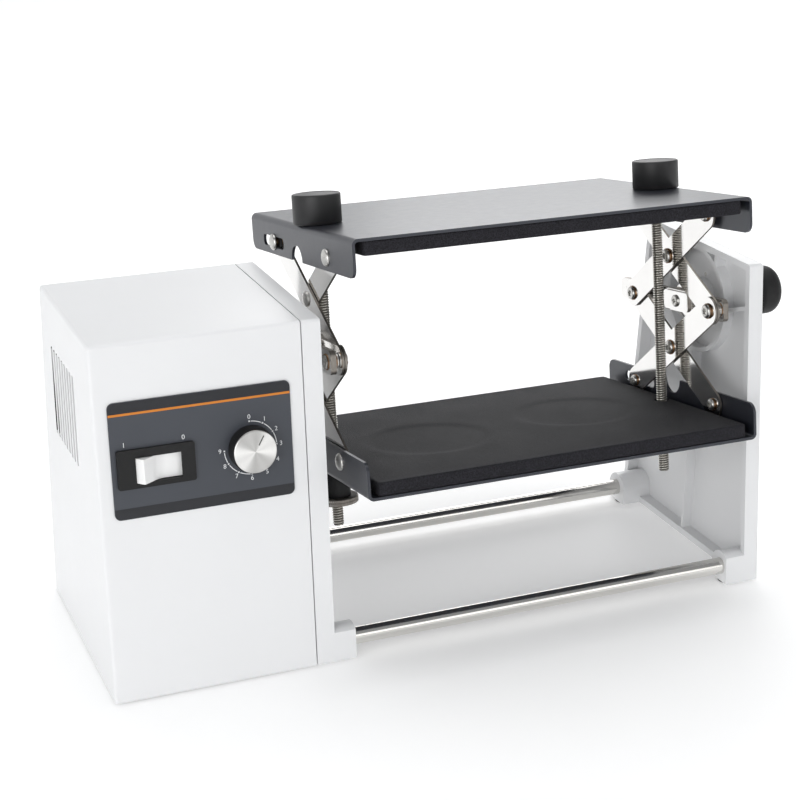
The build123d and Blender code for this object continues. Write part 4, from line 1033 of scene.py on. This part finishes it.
def printPointer():
    outline = patchOutline(pointer["width"] / 2, pointer["stop"], pointer["start"], pointer["corner"])
    turn = Matrix.Rotation(-math.radians(dial["rest"]), 4, "Z")
    place = onDial(dial["base"] + dial["height"] + dial["cap"]) @ turn
    printPatch("DialPointerLine", outline, place, pointerInk, "dial", "dial_metal", -pointer["sunk"],
               pointer["thickness"])


printScale()
switchUp = rockerUp + switchMarks["up"]
printText("SwitchOnMark", "I", switchRight + switchMarks["on"], switchUp, switchMarks["size"])
printText("SwitchOffMark", "0", switchRight + switchMarks["off"], switchUp, switchMarks["size"])
printPointer()
report("panel printed")


# floor, light and camera
stageLook = {"floor": 0.90, "glow": 0.22, "flatReach": 1.6, "bend": 1.2, "wall": 1.6, "sides": 96}


def makeStage():
    # a round floor that curves up into a low wall on every side
    finish = Finish("floorFinish")
    cloud = finish.noise(finish.stretched(), 3, 3)
    color = finish.mix(cloud, shade(stageLook["floor"]), shade(stageLook["floor"] * 1.03))
    material = finish.surface(color, 0.6 + cloud * 0.1, Emission_Color=(1, 1, 1, 1),
                              Emission_Strength=stageLook["glow"])
    flat, bend, sides = stageLook["flatReach"], stageLook["bend"], stageLook["sides"]
    profile = [(0.3, 0.0)] + arcPoints(flat, bend, bend, -90, 0, 12) + [(flat + bend, stageLook["wall"])]
    angles = [2 * math.pi * side / sides for side in range(sides)]
    points = [(reach * math.cos(angle), reach * math.sin(angle), height)
              for reach, height in profile for angle in angles]
    faces = [tuple(range(sides))]
    for start in range(0, len(points) - sides, sides):
        for side in range(sides):
            after = (side + 1) % sides
            faces.append((start + side, start + sides + side, start + sides + after, start + after))
    mesh = bpy.data.meshes.new("RoundFloor")
    mesh.from_pydata(points, [], faces)
    mesh.polygons.foreach_set("use_smooth", [True] * len(mesh.polygons))
    mesh.materials.append(material)
    roundFloor = bpy.data.objects.new("RoundFloor", mesh)
    bpy.context.scene.collection.objects.link(roundFloor)


lamps = {
    "OverheadSoftbox": {"place": (0.1, 0.3, 1.8), "aim": (0, 0, 0.1), "size": (1.8, 1.4), "power": 16},
    "FrontLeftSoftbox": {"place": (-1.45, -1.30, 0.65), "aim": (0.1, 0, 0.15), "size": (1.2, 0.9),
                         "power": 11},
    "FrontFill": {"place": (0.7, -1.8, 0.8), "aim": (0.05, 0, 0.15), "size": (1.0, 0.8), "power": 2},
    "BackFill": {"place": (0.9, 1.7, 1.1), "aim": (0, 0, 0.15), "size": (1.0, 0.8), "power": 8},
    "BackStrip": {"place": (0.78, 1.55, 0.44), "aim": (0.04, 0, 0.27), "size": (0.5, 0.26), "power": 0.6},
}


def placeFacing(name, data, place, direction):
    holder = bpy.data.objects.new(name, data)
    bpy.context.scene.collection.objects.link(holder)
    holder.location = place
    holder.rotation_mode = "QUATERNION"
    holder.rotation_quaternion = direction.normalized().to_track_quat("-Z", "Y")
    return holder


def makeLight(name, facts):
    lamp = bpy.data.lights.new(name, "AREA")
    lamp.shape = "RECTANGLE"
    lamp.size, lamp.size_y = facts["size"]
    lamp.energy = facts["power"]
    holder = placeFacing(name, lamp, facts["place"], Vector(facts["aim"]) - Vector(facts["place"]))
    holder.visible_camera = False


room = {"color": (0.96, 0.98, 1.0, 1), "strength": 0.34}


def makeRoom():
    world = bpy.data.worlds.new("StudioRoom")
    bpy.context.scene.world = world
    world.use_nodes = True
    background = world.node_tree.nodes["Background"]
    background.inputs["Color"].default_value = room["color"]
    background.inputs["Strength"].default_value = room["strength"]


view = {"place": (-0.4801, -1.09426, 0.58871), "direction": (0.35317, 0.86689, -0.35181), "lens": 80.99,
        "sensor": 36, "clip": (0.05, 50)}


def makeCamera():
    lens = bpy.data.cameras.new("Camera")
    lens.lens = view["lens"]
    lens.sensor_width = view["sensor"]
    lens.clip_start, lens.clip_end = view["clip"]
    bpy.context.scene.camera = placeFacing("Camera", lens, view["place"], Vector(view["direction"]))


makeStage()
makeRoom()
for name, facts in lamps.items():
    makeLight(name, facts)
makeCamera()
bpy.context.scene.view_settings.view_transform = "Standard"
report("stage lit")
